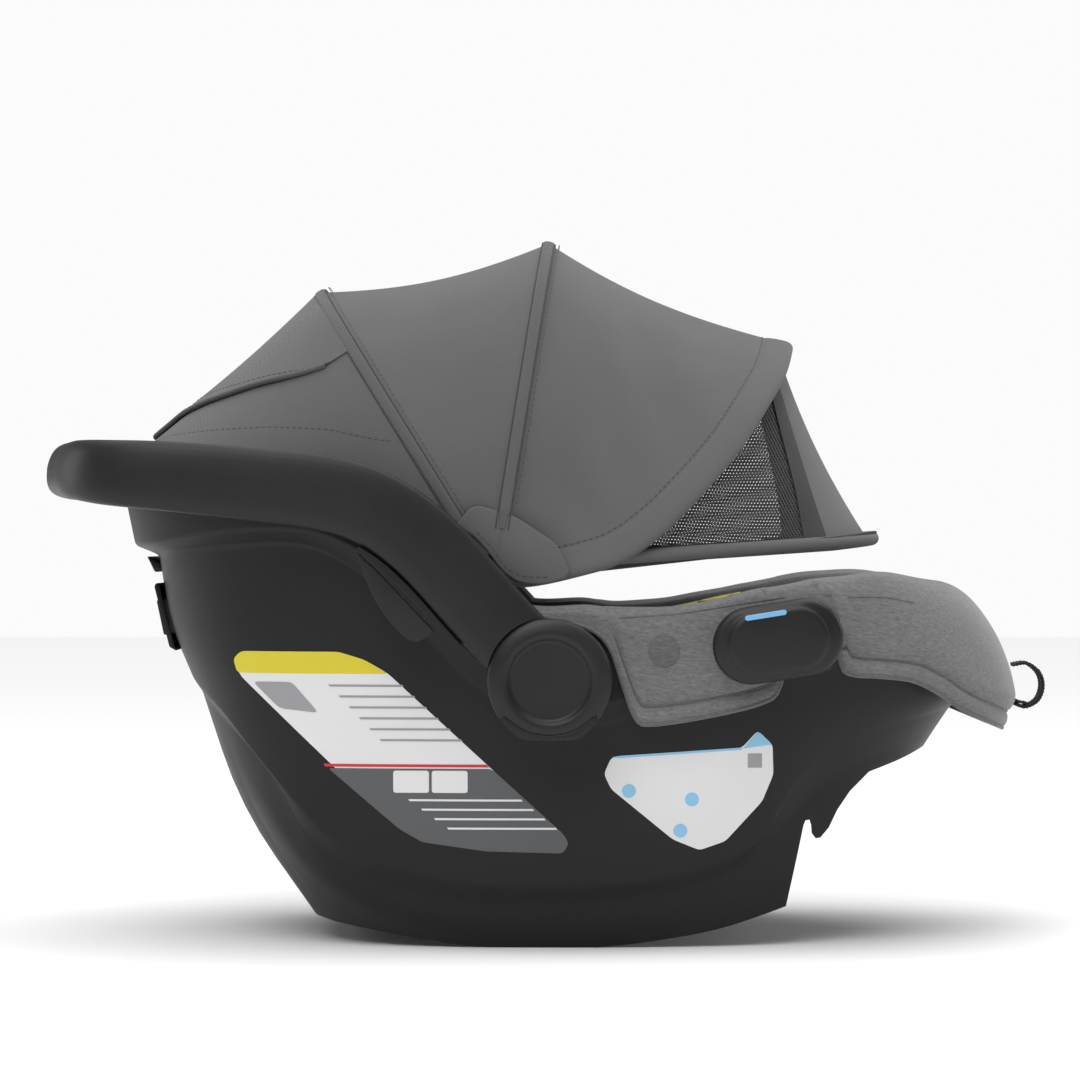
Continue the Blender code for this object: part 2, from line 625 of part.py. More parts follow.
def build_bow(name, node):
    """One bow: a flat strip with an eye at each end on the canopy pivot."""
    points = bow_points(name, 29)
    wide = []
    for i, p in enumerate(points):
        along = (points[min(i + 1, 28)] - points[max(i - 1, 0)]).normalized()
        radial = Vector((p.x - CANOPY_PIVOT[0], 0, p.z - CANOPY_PIVOT[1]))
        if name == "front":
            out = Vector((0, p.y * 1.6, 0)) + radial * (1 - abs(p.y) / 178)
            wide.append(along.cross(out) if out.length > 0 else Vector((0, 0, 1)))
        else:
            tilt = math.radians(BOWS[name][0])
            wide.append(Vector((-math.sin(tilt), 0, math.cos(tilt))))
    bow = strip(node, points, wide, *BOW_STRIP, "trim_plastic")
    half_width = abs(points[0].y)
    for side in SIDES.values():
        eye = disc_y(f"{node}_eye_{side}", CANOPY_PIVOT, 7, side * (half_width - 1.3), side * (half_width + 1.3),
                     cutter=True, segments=20)
        boolean(bow, eye, "UNION")
        hole = disc_y(f"{node}_hole_{side}", CANOPY_PIVOT, 3.5, side * (half_width - 5), side * (half_width + 5),
                      cutter=True, segments=16)
        boolean(bow, hole)


def panel_between(node, first, second, sag, trim=(1.5, 1.5)):
    """Fabric panel between two runs of points, sagging between the bows, standing off them and trimmed."""
    pivot = Vector((CANOPY_PIVOT[0], 0, CANOPY_PIVOT[1]))
    rows = []
    for j in range(5):
        row = []
        for a, b in zip(first, second):
            span = (b - a).length
            f = (trim[0] + (span - trim[0] - trim[1]) * j / 4) / span
            p = a.lerp(b, f)
            out = Vector((p.x - pivot.x, p.y, p.z - pivot.z)).normalized()
            row.append(tuple(p + out * (CANOPY_LIFT - sag * 4 * f * (1 - f) * min(1, span / 90))))
        rows.append(row)
    panel = mesh_object(node, [p for row in rows for p in row], loft_faces(5, len(rows[0]), False),
                        "canopy_fabric")
    solidify(panel, FABRIC, 1)
    return panel


def rim_run(count):
    """Points above the rim from the right hub round the head end to the left one, for the canopy's back edge."""
    back, front = OUTER_LEVELS[-1][0] + 6, OUTER_LEVELS[-1][1]
    found = []
    for i in range(count):
        angle = math.radians(254) - math.radians(148) * i / (count - 1)
        x, y = plan_point(back, front, 185, angle)
        found.append(Vector((x, y, height_on(RIM_LINE, x) + 5)))
    return found


def build_canopy():
    """Pivot mounts, bows and fabric."""
    for side_name, side in SIDES.items():
        mount = box(f"canopy_mount_{side_name}", (CANOPY_PIVOT[0], side * 189.4, 247), (26, 2.4, 40),
                    Matrix.Identity(3), "shell_plastic")
        pin = disc_y(f"canopy_pin_{side_name}", CANOPY_PIVOT, 3, side * 170, side * 189, cutter=True, segments=16)
        boolean(mount, pin, "UNION")
    for name, node in (("rear", "canopy_bow_rear"), ("mid", "canopy_bow_mid"), ("front", "canopy_bow_front"),
                       ("sunshade", "sunshade_bow")):
        build_bow(name, node)
    count = 29
    rear, mid = bow_points("rear", count, 0.06), bow_points("mid", count, 0.045)
    panel_between("canopy_fabric_back", rim_run(count), rear, 2)
    panel_between("canopy_fabric_middle", rear, mid, 7)
    panel_between("canopy_fabric_front", mid, bow_points("front", count, 0.05), 3)
    panel_between("sunshade_fabric", bow_points("front", count, 0.18), bow_points("sunshade", count, 0.16), 3,
                  trim=(7, 1.5))


# ---------------------------------------------------------------- headrest and harness

def on_back(down, out, y=0.0):
    """Point on the seat back: distance down from its top and out from the pad."""
    p = BACK_TOP + BACK_DOWN * down + BACK_OUT * out
    return Vector((p.x, y, p.z))


def build_headrest():
    """Board, wrapped cushion and height grip, which slide along the back."""
    turn = Matrix((BACK_DOWN, (0, 1, 0), BACK_OUT)).transposed()
    box("headrest_board", on_back(126, 5), (120, 130, 4), turn, "shell_plastic", round_off=1)
    bm = bmesh.new()
    outline = [(-102, 50), (-95, 56), (-88, 54), (-78, 26), (0, 21), (78, 26), (88, 54), (95, 56), (102, 50),
               (99, 23), (86, 14), (55, 9), (-55, 9), (-86, 14), (-99, 23)]
    face = bm.faces.new([bm.verts.new(on_back(66, out, y) * MM) for y, out in outline])
    grown = bmesh.ops.extrude_face_region(bm, geom=[face])
    moved = [v for v in grown["geom"] if isinstance(v, bmesh.types.BMVert)]
    bmesh.ops.translate(bm, verts=moved, vec=BACK_DOWN * 118 * MM)
    bevel(from_bmesh("headrest_pad", bm, "heather_fabric"), 3, 2)
    box("headrest_grip", on_back(53, 6), (16, 60, 7), turn, "trim_plastic", round_off=2)


def box_with_button(name, middle, size, button_size, proud, turn, round_off, finish):
    """Housing with a pocket in its face and a push button standing proud of it."""
    out = turn @ Vector((0, 0, 1))
    housing = box(f"{name}_housing", middle, size, turn, "trim_plastic", round_off=round_off)
    depth = button_size[2] + 2.6 - proud
    pocket = box(f"{name}_pocket", Vector(middle) + out * (size[2] / 2 - depth + 10),
                 (button_size[0] + 0.8, button_size[1] + 0.8, 20), turn, cutter=True)
    boolean(housing, pocket)
    box(f"{name}_button", Vector(middle) + out * (size[2] / 2 + proud - button_size[2] / 2), button_size, turn,
        finish, round_off=0.8)


def build_harness():
    """Shoulder and lap straps, crotch strap, buckle, chest clip and adjuster."""
    for side_name, side in SIDES.items():
        shoulder = [on_back(180, 8, side * 33), on_back(230, 9, side * 37), on_back(285, 10, side * 41),
                    on_back(325, 16, side * 38), Vector((5, side * 29, 124)), Vector((30, side * 22, 121))]
        path = [tuple(p) for p in smooth_line([tuple(p) for p in shoulder], 17)]
        strip(f"shoulder_strap_{side_name}", path, (0, 1, 0), 30, 1.6, "webbing")
        lap = [(-14, side * 76, 136), (2, side * 62, 124), (18, side * 46, 117), (31, side * 32, 115)]
        strip(f"lap_strap_{side_name}", [tuple(p) for p in smooth_line(lap, 9)], (0.95, 0, 0.3), 26, 1.6,
              "webbing")
        box(f"buckle_tongue_{side_name}", (40, side * 20, 119), (20, 14, 2.4),
            Matrix.Rotation(math.radians(-side * 30), 3, "Z"), "steel", round_off=0.6)
    lean = Matrix.Rotation(math.radians(-12), 3, "Y")
    box_with_button("buckle", (70, 0, 122), (34, 46, 15), (17, 20, 5), 1.4, lean, 3.5, "red_plastic")
    strip("crotch_strap", [(89, 0, 119), (97, 0, 113), (100, 0, 105), (100, 0, 97)], (0, 1, 0), 30, 2,
          "webbing")
    turn = Matrix((BACK_DOWN, (0, 1, 0), BACK_OUT)).transposed()
    box("chest_clip_right", on_back(250, 14, -24), (30, 46, 5), turn, "trim_plastic", round_off=1.5)
    box("chest_clip_left", on_back(250, 14, 24), (30, 46, 5), turn, "trim_plastic", round_off=1.5)
    lip = Matrix.Rotation(math.radians(-45), 3, "Y")
    box_with_button("adjuster", (200, 0, 206), (30, 34, 8), (14, 18, 4.5), 1.2, lip, 2, "trim_plastic")


def build_pull_loop():
    """Webbing loop of the harness adjuster at the foot end, sewn back on itself."""
    x, z = 350.5, 180.0
    loop = [(x - 1, 0, z + 15), (x + 9, 0, z + 16), (x + 18, 0, z + 9), (x + 20.6, 0, z - 1),
            (x + 17, 0, z - 11), (x + 8, 0, z - 16), (x + 1, 0, z - 14)]
    path = [tuple(p) for p in smooth_line(loop, 19)]
    strip("adjuster_pull_loop", path, (0, 1, 0), 24, 2, "webbing")


# ---------------------------------------------------------------- assembly

def set_origin(name, point):
    """Puts a piece's origin at a point, in millimetres, leaving its shape where it is."""
    obj = bpy.data.objects[name]
    shift = Vector(point) * MM - obj.location
    obj.data.transform(Matrix.Translation(-shift))
    obj.location += shift


def set_origins():
    """Puts each moving piece's origin on the axis it moves about."""
    set_origin("handle", (HUB[0], 0, HUB[1]))
    set_origin("latch_claws", (LATCH_SHAFT[0], 0, LATCH_SHAFT[1]))
    for node in ("canopy_bow_rear", "canopy_bow_mid", "canopy_bow_front", "sunshade_bow"):
        set_origin(node, (CANOPY_PIVOT[0], 0, CANOPY_PIVOT[1]))


def centre_lengthwise():
    """Moves everything so that the middle of the object's length is at X 0."""
    for obj in bpy.data.objects:
        obj.location.x -= MIDDLE_X * MM


def main():
    """Builds every piece."""
    build_shell()
    build_linings()
    build_cover_rim()
    for side_name, side in SIDES.items():
        build_belt_guide(side_name, side)
        build_hub(side_name, side)
        build_arm_fittings(side_name, side)
    build_rear_fittings()
    build_base_latch()
    build_handle()
    build_canopy()
    build_headrest()
    build_harness()
    build_pull_loop()
    set_origins()
    centre_lengthwise()


main()
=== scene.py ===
"""Looks of an infant car seat carrier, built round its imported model.

Shapes are worked out in millimetres from the carrier's own design lines, with X to the foot end, and become
metres in the row frame when a mesh is made.
"""
from __future__ import annotations

import json
import logging
import math
from dataclasses import dataclass, field
from enum import Enum
from typing import Callable, Iterable, Optional, Sequence

import bmesh
import bpy
import numpy as np
from mathutils import Matrix, Vector
from mathutils.bvhtree import BVHTree
from mathutils.kdtree import KDTree


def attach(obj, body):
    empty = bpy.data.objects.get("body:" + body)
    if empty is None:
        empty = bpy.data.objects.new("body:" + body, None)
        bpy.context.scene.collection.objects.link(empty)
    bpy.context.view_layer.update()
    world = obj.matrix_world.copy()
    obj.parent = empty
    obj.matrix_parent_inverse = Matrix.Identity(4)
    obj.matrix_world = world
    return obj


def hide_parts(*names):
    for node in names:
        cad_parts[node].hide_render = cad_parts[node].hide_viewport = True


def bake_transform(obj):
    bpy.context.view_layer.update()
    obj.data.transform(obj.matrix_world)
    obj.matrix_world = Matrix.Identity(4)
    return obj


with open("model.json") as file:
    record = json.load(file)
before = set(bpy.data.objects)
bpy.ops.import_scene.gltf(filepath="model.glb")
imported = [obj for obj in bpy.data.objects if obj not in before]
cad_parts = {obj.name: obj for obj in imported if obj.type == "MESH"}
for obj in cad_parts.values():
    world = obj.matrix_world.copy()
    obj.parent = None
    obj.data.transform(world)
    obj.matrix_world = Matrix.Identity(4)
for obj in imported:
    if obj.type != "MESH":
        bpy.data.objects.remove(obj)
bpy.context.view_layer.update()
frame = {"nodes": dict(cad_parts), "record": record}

LOG = logging.getLogger("infant_car_seat")
MM = 0.001
MIDDLE_X = 4.5
PLAN_POWER = 3.5
Point = Sequence[float]


class Side(Enum):
    """The two sides of the child, with their sign along Y."""

    LEFT = 1
    RIGHT = -1

    @property
    def word(self) -> str:
        """The side's name as piece names spell it."""
        return self.name.lower()


class Weave(Enum):
    """Kinds of cloth, by the way their threads show."""

    MELANGE = "heather_melange"
    PLAIN = "plain_weave"
    RIBBED = "ribbed_webbing"
    NET = "open_net"


# ---------------------------------------------------------------- curves and surfaces


def smooth(points: Iterable[Point], count: int) -> np.ndarray:
    """Runs a Catmull-Rom curve through points.

    Args:
        points: The points it passes through, of any dimension.
        count: How many points to return, evenly spaced in index.

    Returns:
        An array of count rows.
    """
    p = np.array(list(points), float)
    last = len(p) - 1
    p = np.vstack([2 * p[0] - p[1], p, 2 * p[-1] - p[-2]])
    t = np.linspace(0, last, count)
    i = np.minimum(t.astype(int), last - 1)
    u = (t - i)[:, None]
    a, b, c, d = p[i], p[i + 1], p[i + 2], p[i + 3]
    return 0.5 * (2 * b + (c - a) * u + (2 * a - 5 * b + 4 * c - d) * u**2 + (3 * b - a - 3 * c + d) * u**3)


def even(points: np.ndarray, count: int) -> np.ndarray:
    """Points spaced evenly by length along a polyline.

    Args:
        points: The polyline.
        count: How many points to return.

    Returns:
        An array of count rows.
    """
    steps = np.linalg.norm(np.diff(points, axis=0), axis=1)
    along = np.concatenate([[0], np.cumsum(steps)])
    wanted = np.linspace(0, along[-1], count)
    return np.stack([np.interp(wanted, along, points[:, k]) for k in range(points.shape[1])], 1)


def unit(v: np.ndarray) -> np.ndarray:
    """Vectors along the last axis, each made one long."""
    return v / np.maximum(np.linalg.norm(v, axis=-1, keepdims=True), 1e-9)


def bump(t: np.ndarray | float, middle: float, width: float) -> np.ndarray | float:
    """A smooth bump one high at middle, falling away over width."""
    return np.exp(-(((t - middle) / width) ** 2))


def ease(t: np.ndarray | float) -> np.ndarray | float:
    """Smooth step from 0 to 1."""
    t = np.clip(t, 0, 1)
    return t * t * (3 - 2 * t)


def softened(rings: Sequence[np.ndarray], radii: Sequence[float], samples: int = 5) -> list[np.ndarray]:
    """Rounds the corners of a loft's profile.

    Args:
        rings: Rings of points, one corner of the profile each.
        radii: Reach of the rounding at each ring; the first and last aren't rounded.
        samples: Points on each rounded corner.

    Returns:
        More rings.
    """
    out = [rings[0]]
    for a, b, c, reach in zip(rings, rings[1:], rings[2:], radii[1:]):
        before, after = (np.linalg.norm(p - b, axis=1, keepdims=True) for p in (a, c))
        t = np.minimum(reach, 0.48 * np.minimum(before, after))
        p, q = b + (a - b) / before * t, b + (c - b) / after * t
        out += [(1 - u) ** 2 * p + 2 * u * (1 - u) * b + u * u * q for u in np.linspace(0, 1, samples)]
    return [*out, rings[-1]]


def rounded_outline(points: Sequence[Point], reach: float, samples: int = 5) -> list[tuple[float, float]]:
    """A closed outline with its corners rounded over a reach in millimetres."""
    p = np.array(points, float)
    out = []
    for a, b, c in zip(np.roll(p, 1, 0), p, np.roll(p, -1, 0)):
        u, v = np.linalg.norm(a - b), np.linalg.norm(c - b)
        s, e = b + (a - b) / u * min(reach, 0.45 * u), b + (c - b) / v * min(reach, 0.45 * v)
        out += [tuple((1 - t) ** 2 * s + 2 * t * (1 - t) * b + t * t * e) for t in np.linspace(0, 1, samples)]
    return out


class SideLine:
    """A line of the side view whose height is read at any length."""

    def __init__(self, points: Sequence[Point]) -> None:
        """Args:
            points: (x, z) points from the head end to the foot end.
        """
        fine = smooth(points, 24 * len(points))
        self.x = np.maximum.accumulate(fine[:, 0])
        self.z = fine[:, 1]

    def at(self, x: np.ndarray | float) -> np.ndarray:
        """Height of the line at x."""
        return np.interp(x, self.x, self.z)


def plan(back: float, front: float, half_width: float, angle: np.ndarray) -> tuple[np.ndarray, np.ndarray]:
    """Points of the plan outline.

    Args:
        back: Its end towards the head.
        front: Its end towards the feet.
        half_width: Half its width.
        angle: Angles round it, 0 at the foot end.

    Returns:
        The points' x and y.
    """
    c, s = np.cos(angle), np.sin(angle)
    k = (np.abs(c) ** PLAN_POWER + np.abs(s) ** PLAN_POWER) ** (-1 / PLAN_POWER)
    return (back + front) / 2 + (front - back) / 2 * c * k, half_width * s * k


@dataclass
class CarrierForm:
    """The carrier's driving lines, shared by the sub-assemblies."""

    hub: tuple[float, float] = (6.5, 190.0)
    canopy_pivot: tuple[float, float] = (-32.0, 260.0)
    rim: SideLine = field(default_factory=lambda: SideLine([
        (-306, 335), (-250, 333), (-180, 320), (-120, 292), (-70, 258), (-32, 243), (0, 236), (30, 229),
        (60, 224), (100, 226), (142, 235), (186, 243), (215, 247), (250, 250), (300, 243)]))
    band_top: SideLine = field(default_factory=lambda: SideLine([
        (-295, 283), (-228, 292), (-177, 294), (-150, 290), (-120, 276), (-95, 257), (-58, 217), (-30, 192),
        (0, 176), (40, 173), (63, 176), (130, 190), (193, 204), (250, 213), (322, 214)]))
    panel_top: SideLine = field(default_factory=lambda: SideLine([
        (-278, 276), (-228, 282), (-180, 285), (-152, 280), (-126, 265), (-104, 247), (-65, 205), (-37, 180),
        (0, 160), (40, 158), (63, 165), (130, 182), (193, 196), (250, 200), (326, 190)]))
    panel_middle: SideLine = field(default_factory=lambda: SideLine([
        (-270, 226), (-215, 215), (-150, 175), (-90, 135), (-38, 108), (35, 100), (110, 118), (170, 150),
        (210, 168), (320, 180)]))
    panel_foot: SideLine = field(default_factory=lambda: SideLine([
        (-254, 190), (-227, 166), (-202, 136), (-166, 96), (-145, 76), (-116, 60), (-82, 52), (-38, 45),
        (35, 45), (95, 52), (131, 63), (155, 80), (172, 107), (190, 130), (208, 143), (237, 153), (300, 168)]))
    skirt_top: SideLine = field(default_factory=lambda: SideLine([
        (-248, 182), (-196, 131), (-167, 85), (-138, 61), (-91, 43), (-38, 35), (35, 35), (107, 46),
        (144, 62), (167, 82), (189, 107), (209, 122), (252, 139), (288, 150)]))
    skirt_middle: SideLine = field(default_factory=lambda: SideLine([
        (-206, 92), (-160, 48), (-110, 27), (-38, 18), (35, 18), (110, 27), (160, 48), (268, 120)]))
    rocker: SideLine = field(default_factory=lambda: SideLine([
        (-157, 16), (-120, 11), (-86, 6), (-45, 0.6), (0, 0), (45, 0.6), (108, 9), (156, 22), (240, 52)]))
    cover_edge: SideLine = field(default_factory=lambda: SideLine([
        (-7, 234), (6, 233), (24, 229.5), (41, 221), (50, 209), (57, 188), (66, 164), (77, 159), (118, 165),
        (154, 174), (166, 184), (172, 214), (186, 224), (205, 221), (210, 198), (219, 193), (234, 192),
        (259, 189), (277, 181), (299, 167), (335, 151)]))
    tub_rim: tuple[float, float, float] = (-294, 288, 171)
    tub_floor: tuple[float, float, float, float] = (-30, 110, 105, 62)

    def ring(self, back: float, front: float, half_width: float, line: SideLine, angles: np.ndarray) -> np.ndarray:
        """One level of the outside.

        Args:
            back: End towards the head.
            front: End towards the feet.
            half_width: Half the width.
            line: Height along the length.
            angles: Angles round the carrier.

        Returns:
            Points, one row each.
        """
        x, y = plan(back, front, half_width, angles)
        return np.stack([x, y, line.at(x)], 1)

    def tub_ring(self, share: float, gap: float, angles: np.ndarray) -> np.ndarray:
        """One level of the tub.

        Args:
            share: 0 at the rim, 1 at the floor.
            gap: Distance from the tub's wall, into the tub.
            angles: Angles round the carrier.

        Returns:
            Points, one row each.
        """
        back, front, half = self.tub_rim
        floor_back, floor_front, floor_half, floor_z = self.tub_floor
        x0, y0 = plan(back + 1.4 * gap, front - 1.4 * gap, half - gap, angles)
        x1, y1 = plan(floor_back + 0.5 * gap, floor_front - 0.5 * gap, floor_half - gap, angles)
        z0 = self.rim.at(x0)
        return np.stack([x0 + (x1 - x0) * share, y0 + (y1 - y0) * share**2.2,
                         z0 + (floor_z + gap - z0) * share], 1)


# ---------------------------------------------------------------- mesh making


class Maker:
    """Turns points in millimetres into pieces of the scene."""

    @staticmethod
    def piece(name: str, points: np.ndarray, faces: Sequence[Sequence[int]], uv: Optional[np.ndarray] = None,
              sharp: float = 40.0) -> bpy.types.Object:
        """Makes a mesh object.

        Args:
            name: The piece's name.
            points: Points in millimetres.
            faces: Corner indices of each face.
            uv: One (u, v) per point.
            sharp: Angle in degrees above which an edge is drawn sharp.

        Returns:
            The object, linked to the scene.
        """
        mesh = bpy.data.meshes.new(name)
        moved = (np.asarray(points, float) - (MIDDLE_X, 0, 0)) * MM
        mesh.from_pydata([tuple(p) for p in moved], [], [list(map(int, f)) for f in faces])
        if uv is not None:
            layer = mesh.uv_layers.new(name="threads")
            for loop in mesh.loops:
                layer.data[loop.index].uv = uv[loop.vertex_index]
        mesh.update()
        made = bpy.data.objects.new(name, mesh)
        bpy.context.scene.collection.objects.link(made)
        Maker.shade(made, sharp)
        return made

    @staticmethod
    def shade(obj: bpy.types.Object, sharp: float = 40.0) -> None:
        """Shades a mesh smooth, with sharp edges above an angle in degrees."""
        obj.data.shade_smooth()
        obj.data.set_sharp_from_angle(angle=math.radians(sharp))

    @staticmethod
    def grid_faces(rows: int, columns: int, closed: bool = False) -> list[tuple[int, int, int, int]]:
        """Quads of a grid of points, whose rows may close on themselves."""
        faces = []
        for r in range(rows - 1):
            for c in range(columns if closed else columns - 1):
                d = (c + 1) % columns
                a, b = r * columns, (r + 1) * columns
                faces.append((a + c, a + d, b + d, b + c))
        return faces

    @staticmethod
    def grid(name: str, points: np.ndarray, closed: bool = False, uv: Optional[np.ndarray] = None
             ) -> bpy.types.Object:
        """A surface from rows of points.

        Args:
            name: The piece's name.
            points: An array of rows by columns by 3.
            closed: Whether each row joins its ends.
            uv: Rows by columns by 2.

        Returns:
            The object.
        """
        rows, columns = points.shape[:2]
        flat_uv = None if uv is None else uv.reshape(-1, 2)
        return Maker.piece(name, points.reshape(-1, 3), Maker.grid_faces(rows, columns, closed), flat_uv)

    @staticmethod
    def bowl(name: str, rings: Sequence[np.ndarray]) -> bpy.types.Object:
        """A loft of closed rings, the last one closed by a fan."""
        columns = len(rings[0])
        points = np.vstack([*rings, rings[-1].mean(0)])
        faces: list[tuple[int, ...]] = list(Maker.grid_faces(len(rings), columns, True))
        last = (len(rings) - 1) * columns
        faces += [(last + c, last + (c + 1) % columns, len(points) - 1) for c in range(columns)]
        return Maker.piece(name, points, faces)

    @staticmethod
    def tube(name: str, sections: np.ndarray, uv: Optional[np.ndarray] = None) -> bpy.types.Object:
        """A solid lofted through closed sections, with flat ends.

        Args:
            name: The piece's name.
            sections: Stations by corners by 3.
            uv: Stations by corners by 2.

        Returns:
            The object.
        """
        rows, columns = sections.shape[:2]
        faces: list[tuple[int, ...]] = list(Maker.grid_faces(rows, columns, True))
        faces.append(tuple(range(columns - 1, -1, -1)))
        faces.append(tuple((rows - 1) * columns + c for c in range(columns)))
        made = Maker.piece(name, sections.reshape(-1, 3), faces, None if uv is None else uv.reshape(-1, 2))
        Maker.face_out(made)
        return made

    @staticmethod
    def strap(name: str, path: np.ndarray, wide: np.ndarray, width: float, thick: float, rib: float = 0.0
              ) -> bpy.types.Object:
        """Webbing along a path, with rounded selvedges.

        Args:
            name: The piece's name.
            path: Centre line.
            wide: Direction of the width, one for all or one per point.
            width: Width.
            thick: Thickness.
            rib: Height of the cross ribs.

        Returns:
            The object.
        """
        along = unit(np.gradient(path, axis=0))
        wide = np.broadcast_to(np.asarray(wide, float), path.shape)
        wide = unit(wide - (wide * along).sum(1, keepdims=True) * along)
        out = np.cross(along, wide)
        length = np.concatenate([[0], np.cumsum(np.linalg.norm(np.diff(path, axis=0), axis=1))])
        corners = [(-1, 0), (-0.97, 0.8), (-0.9, 1), (-0.45, 1), (0, 1), (0.45, 1), (0.9, 1), (0.97, 0.8), (1, 0),
                   (0.97, -0.8), (0.9, -1), (0.45, -1), (0, -1), (-0.45, -1), (-0.9, -1), (-0.97, -0.8)]
        swell = 1 + rib * np.cos(length * 2 * np.pi / 2.4)
        sections = np.stack([path + wide * (width / 2 * a) + out * (thick / 2 * b * swell)[:, None]
                             for a, b in corners], 1)
        uv = np.stack([np.stack([length * MM, np.full(len(path), a * width / 2 * MM)], 1) for a, _ in corners], 1)
        return Maker.tube(name, sections, uv)

    @staticmethod
    def cord(name: str, path: np.ndarray, radius: float, corners: int = 8) -> bpy.types.Object:
        """A thin round cord along a path."""
        along = unit(np.gradient(path, axis=0))
        guide = np.where(np.abs(along[:, 1:2]) > 0.9, (1.0, 0.0, 0.0), (0.0, 1.0, 0.0))
        a = unit(np.cross(along, guide))
        b = np.cross(along, a)
        turn = 2 * np.pi * np.arange(corners) / corners
        return Maker.tube(name, path[:, None] + radius * (np.cos(turn)[None, :, None] * a[:, None]
                                                         + np.sin(turn)[None, :, None] * b[:, None]))

    @staticmethod
    def stitches(name: str, path: np.ndarray, length: float = 3.0, gap: float = 1.6, radius: float = 0.35
                 ) -> bpy.types.Object:
        """A row of stitches along a path, each a short thread that dips at its ends.

        Args:
            name: The piece's name.
            path: Line on the cloth's face.
            length: Length of a stitch.
            gap: Space between two.
            radius: Radius of the thread.

        Returns:
            The object.
        """
        total = np.linalg.norm(np.diff(path, axis=0), axis=1).sum()
        count = max(2, int(total / (length + gap)))
        fine = even(path, count * 6 + 1)
        points, faces = [], []
        for i in range(count):
            bit = fine[i * 6:i * 6 + 5]
            along = unit(bit[-1] - bit[0])
            a = unit(np.cross(along, (0.31, 0.9, 0.3)))
            b = np.cross(along, a)
            start = len(points)
            for j, (p, r) in enumerate(zip(bit, (0.3, 0.9, 1.0, 0.9, 0.3))):
                points += [p + radius * r * (math.cos(k * math.pi / 2) * a + math.sin(k * math.pi / 2) * b)
                           for k in range(4)]
            for j in range(4):
                for k in range(4):
                    m = (k + 1) % 4
                    faces.append((start + 4 * j + k, start + 4 * j + m, start + 4 * j + 4 + m, start + 4 * j + 4 + k))
            faces += [(start + 3, start + 2, start + 1, start), (start + 16, start + 17, start + 18, start + 19)]
        made = Maker.piece(name, np.array(points), faces)
        Maker.face_out(made)
        return made

    @staticmethod
    def film(name: str, outline: Sequence[Point], onto: Callable[[float, float], Optional[np.ndarray]],
             thick: float = 0.15, step: float = 5.0) -> bpy.types.Object:
        """A thin sheet with a side-view outline, laid on a surface.

        Args:
            name: The piece's name.
            outline: (x, z) points.
            onto: Gives the point of the surface at an x and z.
            thick: Its thickness.
            step: Spacing of the cuts that let it bend.

        Returns:
            The object.
        """
        bm = bmesh.new()
        bm.faces.new([bm.verts.new((x, 0, z)) for x, z in outline])
        p = np.array(outline)
        for axis, k in (((1, 0, 0), 0), ((0, 0, 1), 1)):
            for at in np.arange(p[:, k].min() + step, p[:, k].max(), step):
                geometry = [*bm.verts, *bm.edges, *bm.faces]
                bmesh.ops.bisect_plane(bm, geom=geometry, plane_co=Vector(axis) * at, plane_no=axis)
        bm.verts.index_update()
        points = [onto(v.co.x, v.co.z) for v in bm.verts]
        known = [q for q in points if q is not None]
        points = np.array([known[0] if q is None else q for q in points])
        made = Maker.piece(name, points, [[v.index for v in f.verts] for f in bm.faces])
        bm.free()
        return Maker.thickened(made, thick, 0)

    @staticmethod
    def prism(name: str, outline: Sequence[Point], y0: float, y1: float, round_off: float = 0.0, segments: int = 3
              ) -> bpy.types.Object:
        """A side-view outline made solid across the carrier.

        Args:
            name: The piece's name.
            outline: (x, z) points.
            y0: One face.
            y1: The other face.
            round_off: Radius of the rounded edges.
            segments: Facets of each rounded edge.

        Returns:
            The object.
        """
        count = len(outline)
        points = np.array([(x, y, z) for y in (y0, y1) for x, z in outline])
        faces: list[tuple[int, ...]] = [tuple(range(count)), tuple(range(2 * count - 1, count - 1, -1))]
        faces += [(i, (i + 1) % count, (i + 1) % count + count, i + count) for i in range(count)]
        made = Maker.piece(name, points, faces)
        Maker.face_out(made)
        if round_off:
            Maker.rounded(made, round_off, segments)
        return made

    @staticmethod
    def block(name: str, middle: Point, size: Point, turn: Matrix, round_off: float, segments: int = 3
              ) -> bpy.types.Object:
        """A rounded block.

        Args:
            name: The piece's name.
            middle: Its centre.
            size: Its three sizes.
            turn: Its rotation.
            round_off: Radius of its edges.
            segments: Facets of each rounded edge.

        Returns:
            The object.
        """
        half = Vector(size) / 2
        signs = [(a, b, c) for a in (-1, 1) for b in (-1, 1) for c in (-1, 1)]
        points = np.array([Vector(middle) + turn @ Vector((s[0] * half.x, s[1] * half.y, s[2] * half.z))
                           for s in signs])
        faces = [(0, 1, 3, 2), (4, 6, 7, 5), (0, 4, 5, 1), (2, 3, 7, 6), (0, 2, 6, 4), (1, 5, 7, 3)]
        made = Maker.piece(name, points, faces)
        Maker.face_out(made)
        Maker.rounded(made, round_off, segments)
        return made

    @staticmethod
    def lathe(name: str, centre: Point, profile: np.ndarray, side: Side, steps: int = 120) -> bpy.types.Object:
        """A turned piece about the lateral axis.

        Args:
            name: The piece's name.
            centre: (x, z) of the axis.
            profile: (radius, distance from the centre plane) points.
            side: The side it is on.
            steps: Facets round it.

        Returns:
            The object.
        """
        angles = np.linspace(0, 2 * np.pi, steps, endpoint=False)
        rings = np.stack([np.stack([centre[0] + r * np.cos(angles), np.full(steps, side.value * y),
                                    centre[1] + r * np.sin(angles)], 1) for r, y in profile])
        made = Maker.grid(name, rings, True)
        Maker.face_out(made, merge=True)
        return made

